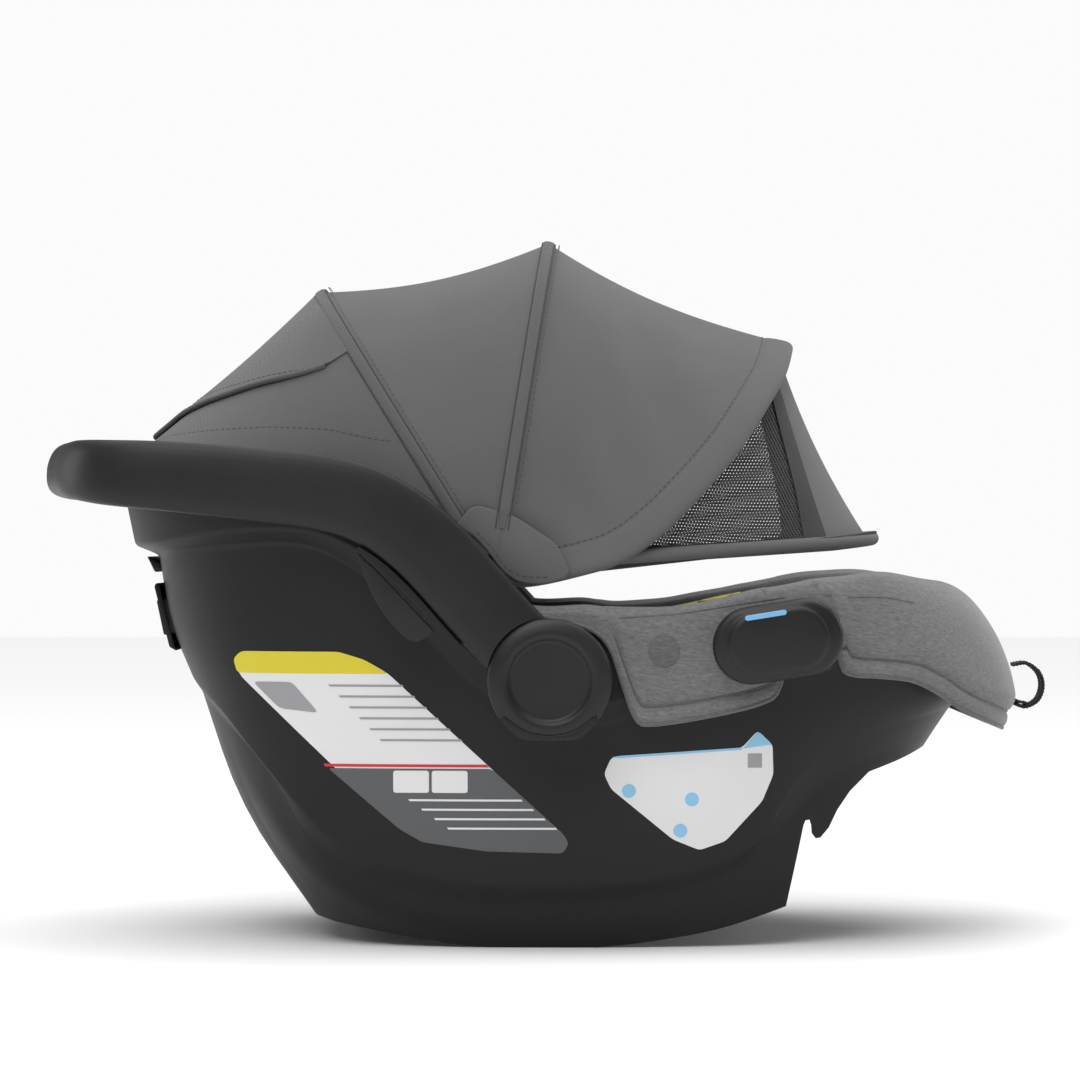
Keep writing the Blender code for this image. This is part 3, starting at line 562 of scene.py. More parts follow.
    @staticmethod
    def face_out(obj: bpy.types.Object, merge: bool = False) -> None:
        """Turns a closed mesh's faces outwards, first merging points that coincide if asked."""
        bm = bmesh.new()
        bm.from_mesh(obj.data)
        if merge:
            bmesh.ops.remove_doubles(bm, verts=bm.verts, dist=1e-6)
        bmesh.ops.recalc_face_normals(bm, faces=bm.faces)
        bm.to_mesh(obj.data)
        bm.free()

    @staticmethod
    def applied(obj: bpy.types.Object) -> bpy.types.Object:
        """Applies a piece's modifiers to its mesh."""
        bpy.context.view_layer.update()
        graph = bpy.context.evaluated_depsgraph_get()
        mesh = bpy.data.meshes.new_from_object(obj.evaluated_get(graph))
        obj.modifiers.clear()
        old, obj.data = obj.data, mesh
        bpy.data.meshes.remove(old)
        return obj

    @staticmethod
    def rounded(obj: bpy.types.Object, width: float, segments: int = 3, angle: float = 30.0) -> bpy.types.Object:
        """Rounds edges sharper than an angle in degrees, by width in millimetres."""
        modifier = obj.modifiers.new("Round", "BEVEL")
        modifier.width = width * MM
        modifier.segments = segments
        modifier.limit_method = "ANGLE"
        modifier.angle_limit = math.radians(angle)
        modifier.harden_normals = False
        Maker.applied(obj)
        Maker.shade(obj, 50)
        return obj

    @staticmethod
    def thickened(obj: bpy.types.Object, thickness: float, side: float, constant: bool = True
                  ) -> bpy.types.Object:
        """Gives a surface its thickness.

        Args:
            obj: The surface.
            thickness: In millimetres.
            side: 1 along its normals, -1 behind it, 0 both ways.
            constant: Whether corners keep the full thickness.

        Returns:
            The piece.
        """
        modifier = obj.modifiers.new("Wall", "SOLIDIFY")
        modifier.thickness = thickness * MM
        modifier.offset = side
        modifier.use_even_offset = constant
        modifier.use_quality_normals = True
        return Maker.applied(obj)

    @staticmethod
    def combined(obj: bpy.types.Object, other: bpy.types.Object, operation: str = "DIFFERENCE"
                 ) -> bpy.types.Object:
        """Cuts other from a piece, or joins it, and removes other."""
        modifier = obj.modifiers.new("Cut", "BOOLEAN")
        modifier.object = other
        modifier.operation = operation
        modifier.solver = "EXACT"
        Maker.applied(obj)
        bpy.data.objects.remove(other)
        return obj


class Draper:
    """Finds points on a finished piece, for what lies on its surface."""

    def __init__(self, obj: bpy.types.Object) -> None:
        """Args:
            obj: The piece to lie on.
        """
        bm = bmesh.new()
        bm.from_mesh(obj.data)
        self.tree = BVHTree.FromBMesh(bm)
        bm.free()

    def side_point(self, x: float, z: float, side: Side, lift: float) -> Optional[np.ndarray]:
        """The point of the outer side at a side-view place, lifted off it.

        Args:
            x: Length, in millimetres.
            z: Height.
            side: Which side to come from.
            lift: Distance off the surface.

        Returns:
            The point in millimetres, or None where there is nothing.
        """
        start = Vector(((x - MIDDLE_X) * MM, side.value * 0.4, z * MM))
        hit, normal, _, _ = self.tree.ray_cast(start, Vector((0, -side.value, 0)), 0.4)
        if hit is None:
            return None
        if normal.y * side.value < 0:
            normal = -normal
        spot = hit + normal * lift * MM
        return np.array((spot.x / MM + MIDDLE_X, spot.y / MM, spot.z / MM))

    def inner_point(self, x: float, z: float, side: Side, lift: float) -> Optional[np.ndarray]:
        """The point of the inner side at a side-view place, lifted towards the child."""
        start = Vector(((x - MIDDLE_X) * MM, 0, z * MM))
        hit, _, _, _ = self.tree.ray_cast(start, Vector((0, side.value, 0)), 0.4)
        return None if hit is None else np.array((x, hit.y / MM - side.value * lift, z))

    def nearest(self, point: np.ndarray, lift: float) -> np.ndarray:
        """The nearest point of the surface, lifted off it, in millimetres."""
        place = Vector(((point[0] - MIDDLE_X) * MM, point[1] * MM, point[2] * MM))
        hit, normal, _, _ = self.tree.find_nearest(place)
        spot = hit + normal * lift * MM
        return np.array((spot.x / MM + MIDDLE_X, spot.y / MM, spot.z / MM))


def stadium(centre: Point, length: float, width: float, tilt: float, per_end: int = 24) -> list[tuple[float, float]]:
    """Outline of a bar with round ends in side view.

    Args:
        centre: Its (x, z) centre.
        length: Its whole length.
        width: Its width.
        tilt: Its rise, in radians.
        per_end: Points round each end.

    Returns:
        (x, z) points.
    """
    outline = []
    for sign in (1, -1):
        for i in range(per_end):
            a = tilt + math.pi * (i / (per_end - 1) - 0.5) + (0 if sign > 0 else math.pi)
            offset = sign * (length - width) / 2
            outline.append((centre[0] + offset * math.cos(tilt) + width / 2 * math.cos(a),
                            centre[1] + offset * math.sin(tilt) + width / 2 * math.sin(a)))
    return outline


# ---------------------------------------------------------------- finishes


class Graph:
    """Short ways to add and join shader nodes in one tree."""

    def __init__(self, tree: bpy.types.NodeTree) -> None:
        """Args:
            tree: The tree to fill.
        """
        self.tree = tree

    def add(self, kind: str, inputs: Optional[dict] = None, **settings) -> bpy.types.Node:
        """Adds a node.

        Args:
            kind: The node's type, without its ShaderNode prefix.
            inputs: Values or sockets for its inputs, by name or index.
            **settings: Properties to set on it.

        Returns:
            The node.
        """
        node = self.tree.nodes.new(kind if kind.startswith("Node") else f"ShaderNode{kind}")
        for key, value in settings.items():
            setattr(node, key, value)
        for key, value in (inputs or {}).items():
            if isinstance(value, bpy.types.NodeSocket):
                self.tree.links.new(value, node.inputs[key])
            else:
                node.inputs[key].default_value = value
        return node

    def math(self, operation: str, a, b=0.0, clamp: bool = False) -> bpy.types.NodeSocket:
        """The result of a Math node."""
        return self.add("Math", {0: a, 1: b}, operation=operation, use_clamp=clamp).outputs[0]

    def mix(self, factor, a, b, blend: str = "MIX") -> bpy.types.NodeSocket:
        """The result of mixing two colours."""
        node = self.add("Mix", {0: factor, 6: a, 7: b}, data_type="RGBA", blend_type=blend)
        return node.outputs[2]

    def span(self, value, low: float, high: float, to_low: float, to_high: float) -> bpy.types.NodeSocket:
        """A value mapped from one span to another."""
        return self.add("MapRange", {0: value, 1: low, 2: high, 3: to_low, 4: to_high}).outputs[0]


def group(name: str, inputs: dict[str, float], outputs: Sequence[str], fill: Callable) -> bpy.types.NodeTree:
    """A shared node group, built once.

    Args:
        name: Its name.
        inputs: Input names and their defaults.
        outputs: Output names.
        fill: Called with the graph and the input node, and returns the output sockets in order.

    Returns:
        The group's tree.
    """
    tree = bpy.data.node_groups.get(name)
    if tree is None:
        tree = bpy.data.node_groups.new(name, "ShaderNodeTree")
        for key, value in inputs.items():
            socket = tree.interface.new_socket(key, in_out="INPUT", socket_type="NodeSocketFloat")
            socket.default_value = value
        for key in outputs:
            tree.interface.new_socket(key, in_out="OUTPUT", socket_type="NodeSocketFloat")
        graph = Graph(tree)
        source, sink = graph.add("NodeGroupInput"), graph.add("NodeGroupOutput")
        for i, socket in enumerate(fill(graph, source.outputs)):
            tree.links.new(socket, sink.inputs[i])
    return tree


def fill_grain(g: Graph, given) -> list[bpy.types.NodeSocket]:
    """Spark-eroded mould grain: its height and a slow mottle."""
    place = g.add("TexCoord").outputs["Object"]
    fine = g.add("TexNoise", {"Vector": place, "Scale": given["Scale"], "Detail": 3.0, "Roughness": 0.6})
    cells = g.add("TexVoronoi", {"Vector": place, "Scale": given["Scale"]})
    slow = g.add("TexNoise", {"Vector": place, "Scale": 14.0, "Detail": 4.0})
    return [g.math("MULTIPLY", fine.outputs[0], cells.outputs["Distance"]), slow.outputs[0]]


def fill_wear(g: Graph, given) -> list[bpy.types.NodeSocket]:
    """Rubbed edges, broken up by noise."""
    edge = g.span(g.add("NewGeometry").outputs["Pointiness"], 0.52, 0.62, 0.0, 1.0)
    noise = g.add("TexNoise", {"Vector": g.add("TexCoord").outputs["Object"], "Scale": 60.0, "Detail": 5.0})
    broken = g.math("MULTIPLY", edge, g.span(noise.outputs[0], 0.4, 0.7, 0.2, 1.0))
    return [g.math("MULTIPLY", broken, given["Amount"], True)]


def fill_dust(g: Graph, given) -> list[bpy.types.NodeSocket]:
    """Fine dust on what faces up."""
    up = g.add("SeparateXYZ", {0: g.add("NewGeometry").outputs["Normal"]}).outputs[2]
    noise = g.add("TexNoise", {"Vector": g.add("TexCoord").outputs["Object"], "Scale": 35.0, "Detail": 6.0})
    lies = g.math("MULTIPLY", g.span(up, 0.1, 1.0, 0.0, 1.0), g.span(noise.outputs[0], 0.35, 0.75, 0.2, 1.0))
    return [g.math("MULTIPLY", lies, given["Amount"], True)]


def fill_melange(g: Graph, given) -> list[bpy.types.NodeSocket]:
    """Heather cloth: short light and dark slubs in two directions, and the threads' height."""
    place = g.add("TexCoord").outputs["Object"]
    tones = []
    for turn, stretch in ((0.16, 5.5), (-0.5, 3.2)):
        turned = g.add("Mapping", {"Vector": place, "Rotation": (0, turn, 0.2), "Scale": (stretch, 1.7, 1.0)},
                       vector_type="TEXTURE")
        tones.append(g.add("TexNoise", {"Vector": turned.outputs[0], "Scale": given["Scale"], "Detail": 3.0,
                                        "Roughness": 0.7}).outputs[0])
    tone = g.math("ADD", g.math("MULTIPLY", tones[0], 0.62), g.math("MULTIPLY", tones[1], 0.38))
    fine = g.add("TexNoise", {"Vector": place, "Scale": g.math("MULTIPLY", given["Scale"], 2.1), "Detail": 2.0})
    height = g.math("ADD", g.math("MULTIPLY", tone, 0.6), g.math("MULTIPLY", fine.outputs[0], 0.4))
    return [g.span(tone, 0.33, 0.67, 0.0, 1.0), height]


def fill_plain(g: Graph, given) -> list[bpy.types.NodeSocket]:
    """Fine plain weave: over and under threads, with slow variation between pieces of yarn."""
    place = g.add("TexCoord").outputs["Object"]
    parts = g.add("SeparateXYZ", {0: place}).outputs
    sloped = g.math("ADD", g.math("MULTIPLY", parts[0], 0.8), g.math("MULTIPLY", parts[1], 0.6))
    rise = g.math("ADD", parts[2], g.math("MULTIPLY", parts[0], -0.35))
    warp = g.math("SINE", g.math("MULTIPLY", sloped, given["Threads"]))
    weft = g.math("SINE", g.math("MULTIPLY", rise, given["Threads"]))
    threads = g.math("MULTIPLY", warp, weft)
    yarn = g.add("TexNoise", {"Vector": place, "Scale": 900.0, "Detail": 2.0}).outputs[0]
    slow = g.add("TexNoise", {"Vector": place, "Scale": 22.0, "Detail": 4.0}).outputs[0]
    tone = g.math("ADD", g.math("MULTIPLY", yarn, 0.6), g.math("MULTIPLY", slow, 0.4))
    return [tone, g.span(threads, -1.0, 1.0, 0.0, 1.0)]


def fill_rib(g: Graph, given) -> list[bpy.types.NodeSocket]:
    """Webbing: cross ribs along the strap and its selvedge threads."""
    parts = g.add("SeparateXYZ", {0: g.add("TexCoord").outputs["UV"]}).outputs
    ribs = g.math("SINE", g.math("MULTIPLY", parts[0], given["Ribs"]))
    threads = g.math("SINE", g.math("MULTIPLY", parts[1], g.math("MULTIPLY", given["Ribs"], 1.6)))
    height = g.math("ADD", g.math("MULTIPLY", ribs, 0.7), g.math("MULTIPLY", threads, 0.3))
    noise = g.add("TexNoise", {"Vector": g.add("TexCoord").outputs["Object"], "Scale": 400.0}).outputs[0]
    return [noise, g.span(height, -1.0, 1.0, 0.0, 1.0)]


def fill_net(g: Graph, given) -> list[bpy.types.NodeSocket]:
    """Open net: rows of staggered round holes, as how much cloth there is, and the cords' height."""
    parts = g.add("SeparateXYZ", {0: g.add("TexCoord").outputs["Object"]}).outputs
    lean = g.math("MULTIPLY", g.math("SIGN", parts[1]), 0.5)
    up, down = (g.math("MULTIPLY", parts[2], g.math(way, 1.0, lean)) for way in ("ADD", "SUBTRACT"))
    a = g.math("SINE", g.math("MULTIPLY", g.math("ADD", parts[0], up), given["Pitch"]))
    b = g.math("SINE", g.math("MULTIPLY", g.math("SUBTRACT", parts[0], down), given["Pitch"]))
    holes = g.math("ABSOLUTE", g.math("MULTIPLY", a, b))
    return [g.span(holes, 0.55, 0.65, 1.0, 0.0), holes]


GRAIN = group("moulded_grain", {"Scale": 900.0}, ["Height", "Mottle"], fill_grain)
WEAR = group("edge_wear", {"Amount": 0.3}, ["Mask"], fill_wear)
DUST = group("settled_dust", {"Amount": 0.1}, ["Mask"], fill_dust)
WEAVES = {
    Weave.MELANGE: group(Weave.MELANGE.value, {"Scale": 420.0}, ["Tone", "Height"], fill_melange),
    Weave.PLAIN: group(Weave.PLAIN.value, {"Threads": 5600.0}, ["Tone", "Height"], fill_plain),
    Weave.RIBBED: group(Weave.RIBBED.value, {"Ribs": 2600.0}, ["Tone", "Height"], fill_rib),
    Weave.NET: group(Weave.NET.value, {"Pitch": 1000.0}, ["Cloth", "Height"], fill_net),
}


def start_material(name: str) -> tuple[bpy.types.Material, Graph, bpy.types.Node]:
    """A new material, its graph and its Principled shader."""
    material = bpy.data.materials.new(name)
    material.use_nodes = True
    graph = Graph(material.node_tree)
    return material, graph, material.node_tree.nodes["Principled BSDF"]


def shade_of(colour: Point, factor: float) -> tuple[float, float, float, float]:
    """A colour made lighter or darker."""
    return tuple(min(1.0, c * factor) for c in colour[:3]) + (1.0,)


@dataclass(frozen=True)
class Finish:
    """A finish: its material's name and the record's material slot it belongs to."""

    name: str
    slot: str

    def dress(self, g: Graph, shader: bpy.types.Node) -> None:
        """Fills in the material."""
        raise NotImplementedError

    def material(self) -> bpy.types.Material:
        """The material, made on first use."""
        material = bpy.data.materials.get(self.name)
        if material is None:
            material, g, shader = start_material(self.name)
            self.dress(g, shader)
        return material


@dataclass(frozen=True)
class MouldedPlastic(Finish):
    """Injection-moulded plastic with a fine grain."""

    colour: tuple[float, float, float]
    roughness: float
    grain: float = 900.0
    depth: float = 0.12
    wear: float = 0.25
    dust: float = 0.035
    coat: float = 0.0
    specular: float = 0.3

    def dress(self, g: Graph, shader: bpy.types.Node) -> None:
        """Fills in the material.

        Args:
            g: Its graph.
            shader: Its Principled shader.
        """
        grain = g.add("Group", {"Scale": self.grain}, node_tree=GRAIN)
        wear = g.add("Group", {"Amount": self.wear}, node_tree=WEAR)
        dust = g.add("Group", {"Amount": self.dust}, node_tree=DUST)
        base = g.mix(g.span(grain.outputs["Mottle"], 0.3, 0.7, 0.0, 1.0), shade_of(self.colour, 0.9),
                     shade_of(self.colour, 1.12))
        rubbed = g.mix(wear.outputs[0], base, shade_of(self.colour, 2.4))
        g.tree.links.new(g.mix(dust.outputs[0], rubbed, (0.3, 0.29, 0.28, 1)), shader.inputs["Base Color"])
        rough = g.math("ADD", g.span(grain.outputs["Mottle"], 0.3, 0.7, self.roughness - 0.05, self.roughness + 0.05),
                       g.math("MULTIPLY", dust.outputs[0], 0.5))
        g.tree.links.new(g.math("SUBTRACT", rough, g.math("MULTIPLY", wear.outputs[0], 0.15)),
                         shader.inputs["Roughness"])
        bumped = g.add("Bump", {"Height": grain.outputs["Height"], "Strength": self.depth, "Distance": 0.0006})
        g.tree.links.new(bumped.outputs[0], shader.inputs["Normal"])
        shader.inputs["Coat Weight"].default_value = self.coat
        shader.inputs["IOR"].default_value = 1.5
        shader.inputs["Specular IOR Level"].default_value = self.specular


@dataclass(frozen=True)
class Cloth(Finish):
    """Woven or knitted cloth."""

    weave: Weave
    dark: tuple[float, float, float]
    light: tuple[float, float, float]
    scale: float
    depth: float = 0.35
    sheen: float = 0.25
    dust: float = 0.05

    def dress(self, g: Graph, shader: bpy.types.Node) -> None:
        """Fills in the material.

        Args:
            g: Its graph.
            shader: Its Principled shader.
        """
        weave = g.add("Group", {0: self.scale}, node_tree=WEAVES[self.weave])
        dust = g.add("Group", {"Amount": self.dust}, node_tree=DUST)
        if self.weave is Weave.NET:
            # Painted highlight and painted shade on the round cords: lighter along their middles, darker towards the
            # holes.
            colour = g.mix(weave.outputs[1], (*self.light, 1), (*self.dark, 1))
            g.tree.links.new(weave.outputs["Cloth"], shader.inputs["Alpha"])
        else:
            colour = g.mix(weave.outputs["Tone"], (*self.dark, 1), (*self.light, 1))
            # Painted shade and painted highlight: the colour is multiplied by 0.82 in the hollows between threads,
            # rising to 1.06 on their tops.
            thread_shade_and_highlight = g.span(weave.outputs["Height"], 0.0, 1.0, 0.82, 1.06)
            colour = g.add("Mix", {0: 1.0, 6: colour, 7: g.add("CombineColor", {0: thread_shade_and_highlight, 1: thread_shade_and_highlight, 2: thread_shade_and_highlight}
                                                             ).outputs[0]}, data_type="RGBA",
                           blend_type="MULTIPLY").outputs[2]
        g.tree.links.new(g.mix(dust.outputs[0], colour, (0.34, 0.33, 0.32, 1)), shader.inputs["Base Color"])
        g.tree.links.new(g.span(weave.outputs["Height"], 0.0, 1.0, 0.98, 0.84), shader.inputs["Roughness"])
        bumped = g.add("Bump", {"Height": weave.outputs["Height"], "Strength": self.depth, "Distance": 0.0006})
        g.tree.links.new(bumped.outputs[0], shader.inputs["Normal"])
        shader.inputs["Sheen Weight"].default_value = self.sheen
        shader.inputs["Sheen Roughness"].default_value = 0.5
        shader.inputs["Specular IOR Level"].default_value = 0.25


@dataclass(frozen=True)
class BareSteel(Finish):
    """Plated steel."""

    colour: tuple[float, float, float] = (0.62, 0.62, 0.64)
    roughness: float = 0.3

    def dress(self, g: Graph, shader: bpy.types.Node) -> None:
        """Fills in the material.

        Args:
            g: Its graph.
            shader: Its Principled shader.
        """
        grain = g.add("Group", {"Scale": 1400.0}, node_tree=GRAIN)
        g.tree.links.new(g.mix(grain.outputs["Mottle"], shade_of(self.colour, 0.8), shade_of(self.colour, 1.1)),
                         shader.inputs["Base Color"])
        g.tree.links.new(g.span(grain.outputs["Mottle"], 0.3, 0.7, self.roughness - 0.08, self.roughness + 0.12),
                         shader.inputs["Roughness"])
        shader.inputs["Metallic"].default_value = 1.0


@dataclass(frozen=True)
class PrintedFilm(Finish):
    """Plain coloured label film."""

    colour: tuple[float, float, float]
    roughness: float = 0.42

    def dress(self, g: Graph, shader: bpy.types.Node) -> None:
        """Fills in the material.

        Args:
            g: Its graph.
            shader: Its Principled shader.
        """
        grain = g.add("Group", {"Scale": 700.0}, node_tree=GRAIN)
        dust = g.add("Group", {"Amount": 0.05}, node_tree=DUST)
        tone = g.mix(grain.outputs["Mottle"], shade_of(self.colour, 0.94), shade_of(self.colour, 1.02))
        g.tree.links.new(g.mix(dust.outputs[0], tone, (0.4, 0.39, 0.37, 1)), shader.inputs["Base Color"])
        g.tree.links.new(g.span(grain.outputs["Mottle"], 0.3, 0.7, self.roughness - 0.06, self.roughness + 0.06),
                         shader.inputs["Roughness"])


@dataclass(frozen=True)
class Palette:
    """Every finish of the carrier."""

    shell: Finish = MouldedPlastic("shell_grained_plastic", "shell_plastic", (0.0072, 0.0072, 0.0076), 0.5)
    handle: Finish = MouldedPlastic("handle_soft_plastic", "trim_plastic", (0.0112, 0.0112, 0.0118), 0.46, 1100.0,
                                    0.08)
    trim: Finish = MouldedPlastic("trim_satin_plastic", "trim_plastic", (0.0135, 0.0135, 0.0142), 0.42, 1200.0, 0.06)
    blue: Finish = MouldedPlastic("belt_path_blue", "blue_plastic", (0.2, 0.47, 0.75), 0.4, 1200.0, 0.04, 0.05)
    red: Finish = MouldedPlastic("buckle_button_red", "red_plastic", (0.5, 0.02, 0.02), 0.3, 1200.0, 0.03, 0.1, 0.04,
                                 0.3)
    foam: Finish = MouldedPlastic("bead_foam", "foam", (0.06, 0.06, 0.065), 0.85, 260.0, 0.4, 0.0)
    steel: Finish = BareSteel("plated_steel", "steel")
    seat: Finish = Cloth("seat_heather_melange", "heather_fabric", Weave.MELANGE, (0.108, 0.108, 0.11),
                         (0.2, 0.2, 0.203), 850.0)
    # The seat's melange made darker for the padded seat in the tub: painted shade for the shadow inside the tub.
    seat_in_painted_shade: Finish = Cloth("seat_dark_melange", "heather_fabric", Weave.MELANGE, (0.075, 0.075, 0.077),
                                (0.15, 0.15, 0.153), 850.0)
    seat_edge: Finish = Cloth("seat_binding", "heather_fabric", Weave.MELANGE, (0.085, 0.085, 0.087),
                              (0.15, 0.15, 0.153), 850.0)
    strap_thread: Finish = Cloth("strap_thread", "webbing", Weave.PLAIN, (0.05, 0.05, 0.05), (0.09, 0.09, 0.09),
                                 9000.0, 0.2, 0.1)
    canopy: Finish = Cloth("canopy_plain_weave", "canopy_fabric", Weave.PLAIN, (0.1, 0.1, 0.1008),
                           (0.134, 0.134, 0.1348), 5600.0, 0.15, 0.12)
    canopy_tape: Finish = Cloth("canopy_seam_tape", "canopy_fabric", Weave.PLAIN, (0.09, 0.09, 0.0908),
                                (0.124, 0.124, 0.1248), 4200.0, 0.3, 0.12)
    black_tape: Finish = Cloth("black_woven_tape", "canopy_fabric", Weave.PLAIN, (0.018, 0.018, 0.019),
                               (0.045, 0.045, 0.046), 4200.0, 0.5, 0.15)
    net: Finish = Cloth("window_net", "canopy_fabric", Weave.NET, (0.02, 0.02, 0.021), (0.06, 0.06, 0.062), 1350.0,
                        0.5, 0.1)
    webbing: Finish = Cloth("black_ribbed_webbing", "webbing", Weave.RIBBED, (0.012, 0.012, 0.013),
                            (0.032, 0.032, 0.033), 2600.0, 0.6, 0.1)
    thread: Finish = Cloth("seam_thread", "canopy_fabric", Weave.PLAIN, (0.05, 0.05, 0.05), (0.08, 0.08, 0.08), 9000.0,
                           0.2, 0.1)
    label_white: Finish = PrintedFilm("label_white", "shell_plastic", (0.72, 0.72, 0.72))
    label_grey: Finish = PrintedFilm("label_dark_grey", "shell_plastic", (0.085, 0.088, 0.094))
    label_mid: Finish = PrintedFilm("label_mark_grey", "shell_plastic", (0.3, 0.3, 0.31))
    label_yellow: Finish = PrintedFilm("label_yellow", "shell_plastic", (0.66, 0.56, 0.02))
    label_rim: Finish = PrintedFilm("label_yellow", "heather_fabric", (0.66, 0.56, 0.02))
    label_red: Finish = PrintedFilm("label_red", "shell_plastic", (0.55, 0.02, 0.03))
    label_blue: Finish = PrintedFilm("label_light_blue", "shell_plastic", (0.24, 0.52, 0.75))


@dataclass
class Fitter:
    """Dresses finished pieces and ties them to the frame."""

    palette: Palette

    def fit(self, piece: bpy.types.Object, finish: Finish, replaces: Sequence[str] = (),
            body: Optional[str] = "carrier") -> bpy.types.Object:
        """Dresses a piece and makes it ride.

        Args:
            piece: The piece.
            finish: Its finish, which knows the record's material slot.
            replaces: CAD nodes it stands for.
            body: The body it rides on, or None for a piece left on no body.

        Returns:
            The piece.
        """
        piece.data.materials.clear()
        piece.data.materials.append(finish.material())
        if replaces:
            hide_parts(*replaces)
        if body:
            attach(piece, body)
        LOG.info("%s: %d faces on %s", piece.name, len(piece.data.polygons), body)
        return piece

    def carry_over(self, node: str, finish: Finish) -> None:
        """Gives a CAD node that stays its own finish."""
        obj = frame["nodes"][node]
        obj.data.materials.clear()
        obj.data.materials.append(finish.material())
        LOG.info("%s: carried over", node)


@dataclass
class SubAssembly:
    """What every sub-assembly works with: the carrier's form and the fitter that dresses its pieces."""

    form: CarrierForm
    fitter: Fitter

    @property
    def palette(self) -> Palette:
        """The finishes."""
        return self.fitter.palette

    def fit(self, piece: bpy.types.Object, finish: Finish, replaces: Sequence[str] = (),
            body: Optional[str] = "carrier") -> bpy.types.Object:
        """Dresses a piece and makes it ride, as Fitter.fit does."""
        return self.fitter.fit(piece, finish, replaces, body)


# ---------------------------------------------------------------- shell


@dataclass
class Shell(SubAssembly):
    """The moulded shell: tiered outside, rim, tub and notched skirts."""

    columns: int = 220
    wall: float = 4.0
    edge: float = 1.2
    levels: tuple = (
        ("rocker", -165, 240, 146), ("skirt_middle", -219, 268, 154), ("skirt_top", -248, 288, 157),
        ("panel_foot", -254, 300, 166), ("panel_middle", -270, 320, 173), ("panel_top", -278, 326, 177),
        ("band_top", -295, 322, 187), ("rim", -306, 300, 183))
    tub_shares: tuple = (0, 0.06, 0.3, 0.55, 0.8, 1)
    reaches: tuple = (0, 60, 6, 3, 80, 3.5, 3, 5, 5, 10, 60, 60, 60, 0)
    front_cut: tuple = (
        (174, -30), (174, 28.6), (185.6, 86), (187, 89.5), (190, 90), (191.3, 86), (191.8, 80), (194.5, 76.5),
        (198, 77), (204, 84), (210, 96.5), (219, 109.5), (233, 123), (254, 130), (274, 137.5), (290, 141),
        (306, 158), (420, 158), (420, -30))

    def build(self) -> bpy.types.Object:
        """Builds the shell.

        Returns:
            The shell piece.
        """
        f = self.form
        angles = np.linspace(0, 2 * np.pi, self.columns, endpoint=False)
        rings = [f.ring(back, front, half, getattr(f, line), angles) for line, back, front, half in self.levels]
        rings += [f.tub_ring(share, 0, angles) for share in self.tub_shares]
        shell = Maker.bowl("moulded_shell", softened(rings, self.reaches))
        Maker.thickened(shell, self.wall, -1)
        Maker.combined(shell, Maker.prism("front_cut", self.front_cut, -260, 260))
        Maker.rounded(shell, self.edge, 2, 62)
        Maker.shade(shell, 45)
        return self.fit(shell, self.palette.shell, ["shell"])


# ---------------------------------------------------------------- handle and hubs


